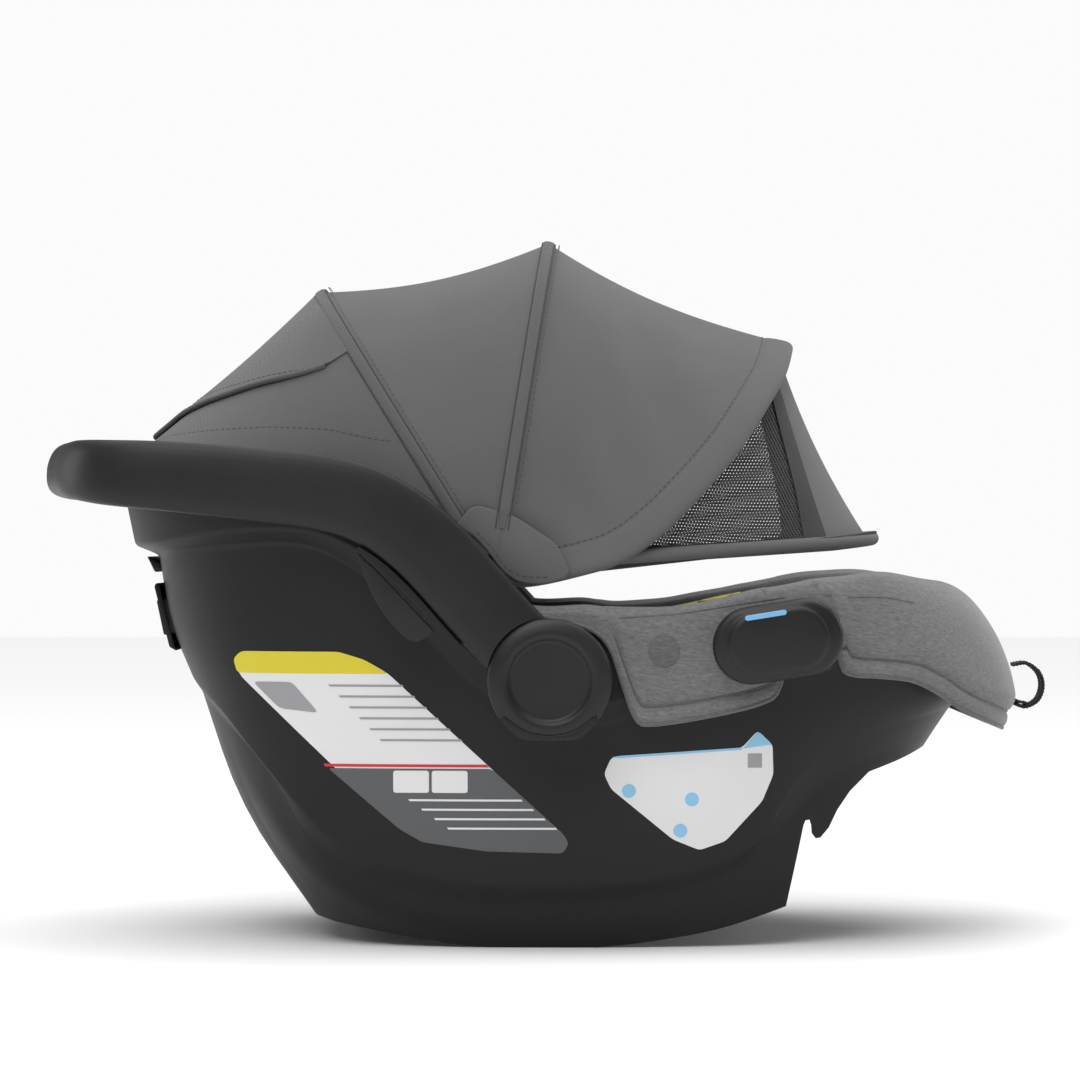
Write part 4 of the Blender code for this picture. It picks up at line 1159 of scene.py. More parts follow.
@dataclass
class CarryHandle(SubAssembly):
    """The swinging handle with its hubs, trims and release triggers."""

    arm_y: tuple[float, float] = (196.5, 217.0)
    cap_y: tuple[float, float] = (212.4, 219.6)
    hub_r: float = 43.0
    ridge: float = 2.6
    crescent: tuple = (
        (-31.5, -24.3), (-26, -28.2), (-13.9, -35.1), (0, -37.2), (13.9, -35.1), (26, -28.2), (31.5, -24.3),
        (32.6, -27.6), (25.6, -35.1), (15.3, -40.6), (-15.3, -40.6), (-25.6, -35.1), (-32.6, -27.6))

    def path(self) -> tuple[np.ndarray, np.ndarray]:
        """Centre line of the left half, and its depth and thickness.

        Returns:
            Points, and (depth, thickness) pairs.
        """
        m = sum(self.arm_y) / 2
        points = [(6.5, m, 190), (-36, m, 236), (-78, m, 282), (-112, m, 307), (-147, m, 319), (-205, m, 326),
                  (-258, m - 2, 331), (-296, m - 13, 333.5), (-317, m - 36, 335.5), (-327, m - 77, 336.5),
                  (-337, m - 130, 336.5), (-341.5, 0, 336)]
        depth = [54, 54, 54, 53, 52, 50, 48, 45.5, 42.5, 40, 39, 39]
        thick = [20.5, 20.5, 20.5, 20.5, 20.5, 20.6, 22, 26, 32, 35, 37, 37]
        rows = smooth([(*p, d, t) for p, d, t in zip(points, depth, thick)], 90)
        return rows[:, :3], rows[:, 3:]

    def bar(self) -> bpy.types.Object:
        """Lofts both arms and the grip.

        Returns:
            The bar, without its hub cut-outs.
        """
        half, sizes = self.path()
        points = np.vstack([half, half[-2::-1] * (1, -1, 1)])
        sizes = np.vstack([sizes, sizes[-2::-1]])
        along = unit(np.gradient(points, axis=0))
        deep = np.array([0.734, 0, 0.679])
        sections = []
        corners = 40
        for p, t, (d, w) in zip(points, along, sizes):
            deep = unit(deep - deep.dot(t) * t)
            across = np.cross(t, deep)
            a = 2 * np.pi * (np.arange(corners) + 0.5) / corners
            power = 4.2 - 1.2 * ease((w - 22) / 14)
            k = (np.abs(np.cos(a)) ** power + np.abs(np.sin(a)) ** power) ** (-1 / power)
            u, v = d / 2 * k * np.cos(a), w / 2 * k * np.sin(a)
            outside = np.sign(v) == np.sign((across * (p * (0, 1, 0) + (-1e-3, 0, 0))).sum())
            v = np.where(outside, v * (1 - self.ridge / (w / 2) * np.clip((u - 0.05 * d) / (0.45 * d), 0, 1) ** 1.0), v)
            sections.append(p + u[:, None] * deep + v[:, None] * across)
        return Maker.tube("handle_bar", np.array(sections))

    def build(self) -> None:
        """Builds the handle and everything on it."""
        f, p = self.form, self.palette
        bar = self.bar()
        for side in Side:
            edge = np.array([(0, self.arm_y[0] + 0.3), (41, self.arm_y[0] + 0.3), (42.6, self.arm_y[0] + 1.8),
                             (42.6, self.arm_y[1] - 3), (0, self.arm_y[1] - 3)])
            Maker.combined(bar, Maker.lathe("arm_disc", f.hub, edge, side, 96), "UNION")
            seat = np.array([(0, self.cap_y[0] - 0.4), (self.hub_r + 0.7, self.cap_y[0] - 0.4),
                             (self.hub_r + 0.7, 225), (0, 225)])
            Maker.combined(bar, Maker.lathe("cap_seat", f.hub, seat, side, 96))
            pocket = np.array([(0, self.arm_y[0] - 5), (30, self.arm_y[0] - 5), (30, self.arm_y[0] + 6.4),
                               (0, self.arm_y[0] + 6.4)])
            Maker.combined(bar, Maker.lathe("arm_pocket", f.hub, pocket, side, 48))
            bore = np.array([(0, 190), (9.4, 190), (9.4, 225), (0, 225)])
            Maker.combined(bar, Maker.lathe("arm_bore", f.hub, bore, side, 32))
            self.cap(side)
            self.trigger(side)
            for node, finish in ((f"pivot_pin_{side.word}", p.steel), (f"lock_ring_{side.word}", p.steel),
                                 (f"hub_boss_{side.word}", p.shell)):
                self.fitter.carry_over(node, finish)
        Maker.shade(bar, 45)
        self.fit(bar, p.handle, ["handle"], body="carry_handle")

    def cap(self, side: Side) -> None:
        """Turns one hub cap and sets its crescent."""
        lo, hi = self.cap_y
        r = self.hub_r
        outer = [(r - 1.2, lo), (r, lo + 1), (r, lo + 2), (r - 0.5, hi - 4.2), (r - 1.6, hi - 2.9),
                 (r - 4, hi - 1.5), (r - 7.5, hi - 0.4), (r - 10, hi), (31.5, hi - 0.1), (29.6, hi - 0.7),
                 (27.6, hi - 2.6), (26.2, hi - 3.3), (24, hi - 3.5), (0, hi - 3.5)]
        profile = np.vstack([[(0, lo)], smooth(outer, 60)])
        cap = Maker.lathe(f"hub_disc_{side.word}", self.form.hub, profile, side, 144)
        hub = np.array(self.form.hub)
        ring = [tuple(hub + c) for c in smooth([*self.crescent[:7]], 40)]
        ring += [tuple(hub + c) for c in smooth([*self.crescent[7:]], 40)]
        grown = [(hub[0] + (x - hub[0]) * 1.012, z + (0.45 if i < 40 else -0.45)) for i, (x, z) in enumerate(ring)]
        cut = Maker.prism("crescent_recess", grown, side.value * (lo + 2.2), side.value * (hi + 3))
        Maker.combined(cap, cut)
        Maker.shade(cap, 40)
        self.fit(cap, self.palette.trim, [f"hub_cap_{side.word}"])
        fill = Maker.prism(f"hub_cradle_{side.word}", ring, side.value * (lo + 2.4), side.value * (hi - 0.3), 0.7)
        self.fit(fill, self.palette.handle, [f"hub_crescent_{side.word}"])

    def beside(self, share: float, drop: float) -> np.ndarray:
        """Side-view point below the arm.

        Args:
            share: How far along the arm, from the hub.
            drop: Distance from its centre line.

        Returns:
            The (x, z) point.
        """
        fine = smooth([(6.5, 190), (-36, 236), (-78, 282), (-112, 307), (-147, 319), (-205, 326), (-258, 331)], 121)
        i = int(round(share * 120))
        along = unit(fine[min(i + 1, 120)] - fine[max(i - 1, 0)])
        return np.array((fine[i][0] - along[1] * drop, fine[i][1] + along[0] * drop))

    def trigger(self, side: Side) -> None:
        """Shapes the trim strip under an arm and its release trigger."""
        s, w = side.value, side.word
        upper = [self.beside(f, 27.7) for f in np.linspace(0.155, 0.5, 18)]
        lower = [self.beside(f, 27.7 + 5.9 * math.sin(math.pi * min(1, max(0, (f - 0.15) * 14)) / 2)
                             * min(1, (0.505 - f) * 16) ** 0.5) for f in np.linspace(0.5, 0.157, 18)]
        strip = Maker.prism(f"arm_cover_{w}", upper + lower, s * 199, s * 214, 1.0)
        self.fit(strip, self.palette.shell, [f"arm_trim_{w}"], body="carry_handle")
        start, end = self.beside(0.21, 35.6), self.beside(0.385, 35.6)
        along = unit(end - start)
        drop = np.array((-along[1], along[0]))
        shape = smooth([(0, 0), (70, 0), (67.5, 4.4), (47, 13), (30, 16.6), (16, 17.5), (5, 15.5), (0.6, 9), (0, 0)],
                       60)[:-1]
        outline = [start + along * a + drop * d for a, d in shape]
        lever = Maker.prism(f"trigger_{w}", outline, s * 200, s * 212, 2.2, 4)
        self.fit(lever, self.palette.trim, [f"release_trigger_{w}"], body=f"trigger_{w}")


@dataclass
class BeltGuides(SubAssembly):
    """The lap belt guides with their blue marks."""

    centre: tuple[float, float] = (164.0, 217.0)
    tilt: float = math.radians(9)

    def build(self) -> None:
        """Builds both guides."""
        for side in Side:
            s = side.value
            layers = [(90, 53, 203), (90.6, 53.6, 206), (90.6, 53.6, 209), (89.5, 52.5, 211.5), (86.5, 49.5, 213.2),
                      (80, 46.5, 213.9), (72, 46, 214.2), (69.5, 43.5, 215.6), (66.5, 40.5, 216.7), (62, 37, 217),
                      (10, 6, 217)]
            rings = [np.array([(x, s * y, z) for x, z in stadium(self.centre, length, width, self.tilt)])
                     for length, width, y in layers]
            body = Maker.tube(f"lap_belt_guide_{side.word}", np.array(rings))
            turn = Matrix.Rotation(-self.tilt, 3, "Y")
            stem = Maker.block("stem", (188, s * 193, 203), (24, 22, 14), turn, 1.5)
            Maker.combined(body, stem, "UNION")
            Maker.shade(body, 50)
            self.fit(body, self.palette.trim, [f"belt_guide_{side.word}"])
            up = np.array((-math.sin(self.tilt), math.cos(self.tilt)))
            middle = np.array(self.centre) + up * 18.5 + (-6, 0)
            mark = Maker.prism(f"belt_path_mark_{side.word}", stadium(middle, 29, 3.6, self.tilt, 12), s * 215.2,
                               s * 217.9, 0.5)
            self.fit(mark, self.palette.blue, [f"belt_mark_{side.word}"])


# ---------------------------------------------------------------- seat cover


@dataclass
class SeatCover(SubAssembly):
    """The padded cover folded out over the rim, its seams and snaps."""

    start_x: float = -7.0
    columns: int = 420
    thick: float = 3.2
    border: float = 11.0
    roll: float = 10.0
    levels: tuple = (
        (268, 155, 0.0, -13.0), (279, 164.5, 0.0, 0.2), (283, 168.5, 0.0, 2.4), (292, 177, 0.0, 4.6),
        (303, 184.8, 0.02, 3.6), (313, 187.4, 0.08, 1.6), (322, 188.8, 0.18, 0.6), (331, 189.2, 0.32, 0),
        (338, 189.4, 0.48, 0), (343, 189.7, 0.64, 0), (345, 189.8, 0.8, 0), (336, 190, 1.0, 0))

    def sheet(self) -> tuple[np.ndarray, np.ndarray]:
        """The cover's surface, from the tub over the rim to its lower edge.

        Returns:
            Rows by columns by 3, and the height of the flap at each column.
        """
        f = self.form
        rows = []
        back = f.tub_rim[0]
        for front, half, share, lift in self.levels:
            middle, reach = (back + front) / 2, (front - back) / 2
            start = math.acos(max(-1, (self.start_x - middle) / reach))
            angles = np.linspace(-start, start, self.columns)
            x, y = plan(back, front, half, angles)
            top = f.rim.at(x)
            edge = np.minimum(f.cover_edge.at(x), top - 2)
            roll = self.roll * ease((x + 8) / 50) * (1 - 0.4 * ease((x - 215) / 70)) * (1 - share)
            rows.append(np.stack([x, y, top + (edge - top) * share + lift + roll], 1))
        height = rows[-1][:, 2]
        height = f.rim.at(rows[-1][:, 0]) - height
        rows = np.array(rows)
        fine = np.stack([smooth(rows[:, c], 80) for c in range(self.columns)], 1)
        return np.stack([even(fine[:, c], 100) for c in range(self.columns)], 1), height

    def build(self) -> None:
        """Builds the cover's rim with its seams and snaps."""
        grid, height = self.sheet()
        du, dv = np.gradient(grid, axis=1), np.gradient(grid, axis=0)
        normal = unit(np.cross(du, dv))
        if normal[-5, self.columns // 2, 0] < 0:
            normal = -normal
        steps = np.linalg.norm(np.diff(grid, axis=0), axis=2)
        from_edge = np.flip(np.cumsum(np.flip(np.vstack([steps, np.zeros((1, self.columns))]), 0), 0), 0)
        across = np.concatenate([[0], np.cumsum(np.linalg.norm(np.diff(grid[-30], axis=0), axis=1))])
        from_end = np.minimum(across, across[-1] - across)[None, :]
        edge = np.minimum(from_edge, from_end + 1.0)
        flap = ease((height - 8) / 22)[None, :]
        raised = 1.9 * bump(edge, self.border * 0.4, self.border * 0.42) - 2.3 * bump(edge, self.border + 1.2, 1.7)
        raised += 1.3 * ease((edge - self.border - 2) / 12)
        rng = np.random.default_rng(4)
        waves = sum(a * np.sin(grid[..., 0] * kx + grid[..., 2] * kz + grid[..., 1] * 0.013 + ph)
                    for a, kx, kz, ph in zip((0.45, 0.3, 0.22), (0.045, 0.083, 0.13), (0.06, -0.05, 0.09),
                                             rng.uniform(0, 6, 3)))
        surface = grid + normal * ((raised + waves * ease((edge - 6) / 20)) * flap)[..., None]
        cover = Maker.grid("seat_cover_flaps", surface)
        lead = cover.data.polygons[len(cover.data.polygons) - self.columns // 2].normal
        Maker.thickened(cover, self.thick, -1 if lead.x > 0 else 1, False)
        Maker.shade(cover, 70)
        p = self.palette
        self.fit(cover, p.seat, ["seat_cover_rim"])
        self.draper = Draper(cover)
        self.fit(Maker.cord("cover_binding", surface[-1], 1.5), p.seat_edge)
        inner = [c for c in range(8, self.columns - 8) if height[c] > 2.2 * self.border]
        runs = np.split(inner, np.where(np.diff(inner) > 1)[0] + 1)
        for i, run in enumerate(r for r in runs if len(r) > 12):
            line = [[np.interp(-self.border - 1.2, -from_edge[:, c], surface[:, c, k]) for k in range(3)] for c in run]
            line = np.array(line) + normal[-12, run] * 0.2
            self.fit(Maker.cord(f"cover_edge_seam_{i}", line, 0.7), p.seat_edge)
        for side in Side:
            self.seam(f"cover_top_seam_{side.word}", side, [(55, 233), (97, 236), (142, 243), (170, 247)])
            self.seam(f"cover_hood_seam_{side.word}", side, [(214, 247), (240, 247), (262, 243)])
            outline = [(86 + 10.7 * math.cos(a), 210 + 10.7 * math.sin(a)) for a in np.linspace(0, 2 * np.pi, 40)[:-1]]
            disc = Maker.film(f"cover_snap_{side.word}", outline,
                              lambda x, z: self.draper.side_point(x, z, side, 1.5 - 1.2 * (math.hypot(
                                  x - 86, z - 210) / 10.7) ** 4), 0.8, 2.0)
            Maker.shade(disc, 60)
            self.fit(disc, p.seat_edge)

    def seam(self, name: str, side: Side, points: Sequence[Point]) -> None:
        """A sewn line along the outside of the cover."""
        line = [self.draper.side_point(x, z, side, 0.1) for x, z in smooth(points, 60)]
        line = np.array([q for q in line if q is not None])
        if len(line) > 8:
            self.fit(Maker.cord(name, line, 0.45), self.palette.seat_edge)


@dataclass
class Labels(SubAssembly):
    """Plain coloured panels where the real carrier has its labels."""

    shell: Draper
    cover: Draper

    def put(self, name: str, outline: Sequence[Point], side: Side, finish: Finish, lift: float,
            reach: float = 4.0) -> None:
        """Lays one panel on the shell's side."""
        film = Maker.film(name, rounded_outline(outline, reach),
                          lambda x, z: self.shell.side_point(x, z, side, lift))
        Maker.shade(film, 60)
        self.fit(film, finish)

    def build(self) -> None:
        """Lays every panel."""
        p = self.palette
        for side in Side:
            w = side.word
            edge = [(-211.9, 192.2), (-216.3, 203.4), (-210.5, 208.9), (-140.8, 208.9), (-122.7, 203.4),
                    (-106.6, 194.3), (-36.9, 130.2), (16.0, 82.1), (20.2, 75.1), (16.0, 68.1), (-37.6, 69.5),
                    (-82.2, 75.8), (-98.3, 84.9)]
            self.put(f"side_label_{w}", edge, side, p.label_white, 0.15, 5)
            head = [(-213.5, 193.6), (-216.3, 203.4), (-210.5, 208.9), (-140.8, 208.9), (-122.7, 203.4),
                    (-105.8, 193.6)]
            self.put(f"side_label_head_{w}", head, side, p.label_yellow, 0.3, 3)
            low = [(-148.5, 127.4), (-33.8, 127.4), (16.0, 82.1), (20.2, 75.1), (16.0, 68.1), (-37.6, 69.5),
                   (-82.2, 75.8), (-98.3, 84.9)]
            self.put(f"side_label_foot_{w}", low, side, p.label_grey, 0.3, 3)
            self.put(f"side_label_line_{w}", [(-150.5, 128.4), (-151.5, 130.4), (-37.2, 130.4), (-35.2, 128.4)],
                     side, p.label_red, 0.36, 0.3)
            picture = [(-202, 187.5), (-174, 187.5), (-155, 166), (-183, 169)]
            self.put(f"side_label_field_{w}", picture, side, p.label_mid, 0.36, 4)
            for i, x in enumerate((-102.5, -75.5)):
                box = [(x, 126), (x + 25, 126), (x + 25, 110.5), (x, 110.5)]
                self.put(f"side_label_box_{w}_{i}", box, side, p.label_white, 0.42, 2)
            for i in range(6):
                z = 186 - 7.6 * i
                self.put(f"side_label_bar_{w}_{i}", [(-148 + 7.2 * i, z), (-96 + 8.2 * i, z), (-95 + 8.2 * i, z - 1.5),
                                                     (-147 + 7.2 * i, z - 1.5)], side, p.label_mid, 0.38, 0.3)
            for i in range(4):
                z = 106 - 6.6 * i
                self.put(f"side_label_rule_{w}_{i}", [(-92 + 9 * i, z), (-13 + 8 * i, z), (-12 + 8 * i, z - 1.4),
                                                      (-91 + 9 * i, z - 1.4)], side, p.label_white, 0.38, 0.3)
            belt = [(44.6, 123.9), (49.5, 135.1), (55.1, 136.4), (140.8, 142.0), (151.9, 153.9), (162.4, 144.1),
                    (163.1, 123.2), (155.4, 104.4), (129.6, 76.5), (111.5, 70.2), (92.7, 77.9), (49.5, 113.4)]
            self.put(f"belt_label_{w}", belt, side, p.label_white, 0.15, 3)
            self.put(f"belt_label_arrow_{w}", [(141.5, 141.5), (151.9, 153.4), (162, 144.2)], side, p.label_blue, 0.3,
                     0.8)
            self.put(f"belt_label_edge_{w}", [(50, 135.6), (55.1, 136.6), (140.8, 142.2), (140.8, 140.6),
                                              (56, 135.0)], side, p.label_blue, 0.3, 0.2)
            for i, (x, z) in enumerate(((62, 112), (106, 106), (98, 84))):
                spot = [(x + 5 * math.cos(a), z + 5 * math.sin(a)) for a in np.linspace(0, 2 * np.pi, 13)[:-1]]
                self.put(f"belt_label_spot_{w}_{i}", spot, side, p.label_blue, 0.3, 0.5)
            self.put(f"belt_label_square_{w}", [(145, 138), (155, 138), (155, 128), (145, 128)], side, p.label_mid,
                     0.3, 0.5)
            run = np.linspace(63, 156, 12)
            strip = [(x, self.form.rim.at(x) + 9) for x in run] + [(x, self.form.rim.at(x) + 0.5) for x in run[::-1]]
            film = Maker.film(f"rim_label_{w}", strip,
                              lambda x, z: self.cover.inner_point(x, z, side, 0.4))
            self.fit(film, p.label_rim)


@dataclass
class Seat(SubAssembly):
    """The padded seat inside the tub and the sliding headrest."""

    back_top: tuple = (-275.0, 0.0, 354.0)
    strap_y: float = 33.0
    strap_slots: tuple = (180, 215)
    slot_half: float = 19.0
    swell_frames: int = 20
    down: tuple = (0.698, 0.0, -0.716)
    out: tuple = (0.716, 0.0, 0.698)

    def on_back(self, down: float, out: float, y: float = 0.0) -> np.ndarray:
        """A place on the seat back, by its distance down from the top and out from the pad."""
        return np.array(self.back_top) + np.array(self.down) * down + np.array(self.out) * out + (0, y, 0)

    @property
    def turn(self) -> Matrix:
        """Rotation of pieces that lie along the seat back."""
        return Matrix((self.down, (0, 1, 0), self.out)).transposed()

    @staticmethod
    def puffed(obj: bpy.types.Object, voxel: float, most: float) -> bpy.types.Object:
        """Swells a closed shape into a padded one with a cloth simulation.

        Args:
            obj: The shape, slightly small.
            voxel: Size of the remesh, in millimetres.
            most: Farthest a point may move, in millimetres.

        Returns:
            The piece.
        """
        remesh = obj.modifiers.new("Remesh", "REMESH")
        remesh.mode = "VOXEL"
        remesh.voxel_size = voxel * MM
        Maker.applied(obj)
        start = np.array([v.co for v in obj.data.vertices])
        cloth = obj.modifiers.new("Cloth", "CLOTH")
        for key, value in (("quality", 4), ("mass", 0.3), ("tension_stiffness", 12), ("compression_stiffness", 12),
                           ("bending_stiffness", 0.4), ("use_pressure", True), ("uniform_pressure_force", 4)):
            setattr(cloth.settings, key, value)
        cloth.settings.effector_weights.gravity = 0
        scene = bpy.context.scene
        for step in range(1, Seat.swell_frames + 1):
            scene.frame_set(step)
        graph = bpy.context.evaluated_depsgraph_get()
        moved = np.array([v.co for v in obj.evaluated_get(graph).data.vertices])
        obj.modifiers.clear()
        scene.frame_set(1)
        move = moved - start
        far = np.linalg.norm(move, axis=1, keepdims=True)
        start = start + move * np.minimum(1, most * MM / np.maximum(far, 1e-9))
        obj.data.vertices.foreach_set("co", start.ravel())
        smoother = obj.modifiers.new("Soft", "SUBSURF")
        smoother.levels = 1
        Maker.applied(obj)
        obj.data.shade_smooth()
        return obj

    @staticmethod
    def grooved(obj: bpy.types.Object, depth: Callable[[np.ndarray], np.ndarray]) -> None:
        """Presses seams into a piece.

        Args:
            obj: The piece.
            depth: Gives the depth in millimetres at points in millimetres.
        """
        mesh = obj.data
        co = np.array([v.co for v in mesh.vertices])
        normal = np.array([v.normal for v in mesh.vertices])
        places = co / MM + (MIDDLE_X, 0, 0)
        co -= normal * (depth(places) * MM)[:, None]
        mesh.vertices.foreach_set("co", co.ravel())
        mesh.update()

    def build(self) -> None:
        """Builds the pad, the headrest and what they sit on."""
        f, p = self.form, self.palette
        angles = np.linspace(0, 2 * np.pi, 120, endpoint=False)
        rings = [f.tub_ring(share, 14.5, angles) for share in np.linspace(0.012, 1, 16)]
        pad = Maker.bowl("padded_seat", rings)
        Maker.thickened(pad, 8.5, 1)
        self.puffed(pad, 6.0, 3.0)
        top = np.array(self.back_top)

        def seams(q: np.ndarray) -> np.ndarray:
            down = (q - top) @ np.array(self.down)
            y = np.abs(q[:, 1])
            cut = 2.6 * bump(y, 62 + 16 * ease((down - 230) / 90), 2.6) * ease((down - 30) / 20)
            for at in (96, 190, 268, 330):
                cut += 2.2 * bump(down, at - 8 * np.cos(q[:, 1] / 40), 2.8) * (y < 62)
            for at in self.strap_slots:
                cut += 2.0 * bump(down, at, 2.2) * (np.abs(y - self.strap_y) < self.slot_half)
            return cut

        self.grooved(pad, seams)
        # Painted shade: the padded seat takes the darker copy of the seat cloth.
        self.fit(pad, p.seat_in_painted_shade, ["seat_pad"])
        board = Maker.block("headrest_plate", self.on_back(126, 5), (120, 130, 4), self.turn, 1.5)
        self.fit(board, p.shell, ["headrest_board"], body="headrest")
        self.headrest()
        grip = Maker.block("headrest_handle", self.on_back(53, 6), (16, 60, 7), self.turn, 2.6, 4)
        self.fit(grip, p.trim, ["headrest_grip"], body="headrest")

    def headrest(self) -> None:
        """The winged cushion round the head."""
        face = smooth([(-100, 48), (-94, 53), (-88.5, 51), (-84, 38), (-78, 27), (-55, 22), (0, 20), (55, 22),
                       (78, 27), (84, 38), (88.5, 51), (94, 53), (100, 48)], 60)
        rear = smooth([(98.5, 30), (94, 20), (80, 13), (50, 11), (0, 11), (-50, 11), (-80, 13), (-94, 20),
                       (-98.5, 30)], 40)
        outline = np.vstack([face, rear])
        sections = []
        for down in np.linspace(69, 181, 12):
            trim = 1 - 0.12 * ((down - 125) / 56) ** 4
            sections.append([self.on_back(down, 11 + (o - 11) * trim, y * (0.985 + 0.015 * trim)) for y, o in outline])
        pad = Maker.tube("headrest_cushion", np.array(sections))
        self.puffed(pad, 5.0, 4.0)
        top = np.array(self.back_top)

        def seams(q: np.ndarray) -> np.ndarray:
            down = (q - top) @ np.array(self.down)
            out = (q - top) @ np.array(self.out)
            y = np.abs(q[:, 1])
            front = ease((out - 17) / 4)
            cut = 2.4 * bump(y, 68, 2.4) * front
            return cut + 2.0 * bump(down, 78 + 3 * np.cos(y / 30), 2.4) * (y < 68) * front

        self.grooved(pad, seams)
        self.fit(pad, self.palette.seat, ["headrest_pad"], body="headrest")


@dataclass
class Harness(SubAssembly):
    """Straps, buckle, chest clip, adjuster and the pull loop at the foot end."""

    seat: Seat

    def band(self, name: str, points: Sequence[Point], wide: Point, width: float, thick: float, node: str,
             count: int = 120) -> np.ndarray:
        """Makes one strap of webbing.

        Args:
            name: The piece's name.
            points: Points of its centre line.
            wide: Direction of its width.
            width: Its width.
            thick: Its thickness.
            node: The CAD node it stands for.
            count: Stations along it.

        Returns:
            The centre line.
        """
        path = even(smooth(points, 300), count)
        strap = Maker.strap(name, path, np.array(wide, float), width, thick, 0.06)
        Maker.shade(strap, 70)
        self.fit(strap, self.palette.webbing, [node])
        length = np.linalg.norm(np.diff(path, axis=0), axis=1).sum()
        LOG.info("strap %s: %.0f x %.0f mm", name, width, length)
        return path

    def bar_tack(self, name: str, middle: np.ndarray, along: np.ndarray, wide: np.ndarray, size: Point,
                 body: str = "carrier") -> None:
        """A boxed cross of stitches.

        Args:
            name: The piece's name.
            middle: Its centre on the webbing's face.
            along: Direction of the webbing.
            wide: Across the webbing.
            size: Its length and width.
            body: What it rides on.
        """
        a, b = unit(along) * size[0] / 2, unit(wide) * size[1] / 2
        corners = [middle + a + b, middle + a - b, middle - a - b, middle - a + b, middle + a + b, middle - a - b,
                   middle - a + b, middle + a - b]
        path = np.vstack([np.linspace(p, q, 24) for p, q in zip(corners, corners[1:])])
        tack = Maker.stitches(name, path, 2.2, 0.8, 0.4)
        self.fit(tack, self.palette.strap_thread, body=body)

    def build(self) -> None:
        """Builds the harness."""
        p, on_back = self.palette, self.seat.on_back
        for side in Side:
            s, w = side.value, side.word
            shoulder = [on_back(180, 8, s * 33), on_back(230, 9, s * 37), on_back(285, 10, s * 41),
                        on_back(325, 16, s * 38), (5, s * 29, 124), (30, s * 22, 121)]
            path = self.band(f"shoulder_belt_{w}", shoulder, (0, 1, 0), 30, 1.6, f"shoulder_strap_{w}", 220)
            at = path[50]
            along = unit(path[52] - path[48])
            face = np.cross(along, (0, 1, 0))
            face = face if face[0] > 0 else -face
            self.bar_tack(f"shoulder_tack_{w}", at + face * 1.1, along, np.array((0, 1.0, 0)), (18, 20))
            lap = [(-14, s * 76, 136), (2, s * 62, 124), (18, s * 46, 117), (31, s * 32, 115)]
            self.band(f"lap_belt_{w}", lap, (0.95, 0, 0.3), 26, 1.6, f"lap_strap_{w}", 70)
            tongue = Maker.block(f"tongue_{w}", (40, s * 20, 119), (20, 14, 2.4),
                                 Matrix.Rotation(math.radians(-s * 30), 3, "Z"), 0.8)
            self.fit(tongue, p.steel, [f"buckle_tongue_{w}"])
        lean = Matrix.Rotation(math.radians(-12), 3, "Y")
        self.buckle("harness_buckle", "buckle", (70, 0, 122), (34, 46, 15), (17, 20, 5), 1.4, lean, 4.5, p.red,
                    "harness_button")
        self.band("crotch_belt", [(89, 0, 119), (97, 0, 113), (100, 0, 105), (100, 0, 97)], (0, 1, 0), 30, 2,
                  "crotch_strap", 40)
        for side in Side:
            s = side.value
            clip = Maker.block(f"chest_half_{side.word}", on_back(250, 14, s * 24), (30, 46, 5), self.seat.turn, 2.2, 4)
            rib = Maker.block("clip_rib", on_back(250, 17, s * 30), (20, 22, 1.6), self.seat.turn, 0.7)
            Maker.combined(clip, rib, "UNION")
            Maker.shade(clip, 50)
            self.fit(clip, p.trim, [f"chest_clip_{side.word}"], body="chest_clip")
        lip = Matrix.Rotation(math.radians(-45), 3, "Y")
        self.buckle("strap_adjuster", "adjuster", (200, 0, 206), (30, 34, 8), (14, 18, 4.5), 1.2, lip, 2.4, p.trim,
                    "strap_button")
        self.pull_loop()

    def buckle(self, name: str, node: str, middle: Point, size: Point, button: Point, proud: float, turn: Matrix,
               round_off: float, finish: Finish, body: str) -> None:
        """A housing with a push button in a pocket.

        Args:
            name: The pieces' name.
            node: The CAD nodes' name.
            middle: Centre of the housing.
            size: Its sizes.
            button: The button's sizes.
            proud: How far the button stands out.
            turn: Their rotation.
            round_off: Radius of the housing's edges.
            finish: The button's finish.
            body: The button's body.
        """
        out = np.array(turn @ Vector((0, 0, 1)))
        housing = Maker.block(f"{name}_housing", middle, size, turn, round_off, 4)
        depth = button[2] + 2.6 - proud
        pocket = Maker.block("pocket", np.array(middle) + out * (size[2] / 2 - depth + 10),
                             (button[0] + 0.8, button[1] + 0.8, 20), turn, 0.8)
        Maker.combined(housing, pocket)
        Maker.shade(housing, 50)
        self.fit(housing, self.palette.trim, [f"{node}_housing"])
        push = Maker.block(f"{name}_push", np.array(middle) + out * (size[2] / 2 + proud - button[2] / 2), button,
                           turn, 1.4, 4)
        self.fit(push, finish, [f"{node}_button"], body=body)

    def pull_loop(self) -> None:
        """The webbing loop that tightens the harness, sewn back on itself."""
        x, z = 350.5, 180.0
        loop = [(x - 1, 0, z + 15), (x + 9, 0, z + 16), (x + 18, 0, z + 9), (x + 20.6, 0, z - 1),
                (x + 17, 0, z - 11), (x + 8, 0, z - 16), (x + 1, 0, z - 14)]
        path = even(smooth(loop, 200), 70)
        strap = Maker.strap("pull_loop", path, (0, 1, 0), 24, 2.4, 0.22)
        Maker.shade(strap, 70)
        end = [(x - 3, 0, z - 9), (x + 3, 0, z - 12.2), (x + 9, 0, z - 13.4)]
        tail = Maker.strap("loop_tail", even(smooth(end, 60), 20), (0, 1, 0), 24, 1.8, 0.2)
        self.fit(strap, self.palette.webbing, ["adjuster_pull_loop"])
        self.fit(tail, self.palette.webbing)
        self.bar_tack("loop_tack", np.array((x + 15.8, 0, z + 12.9)), np.array((0.78, 0, -0.62)),
                      np.array((0, 1.0, 0)), (7, 18))


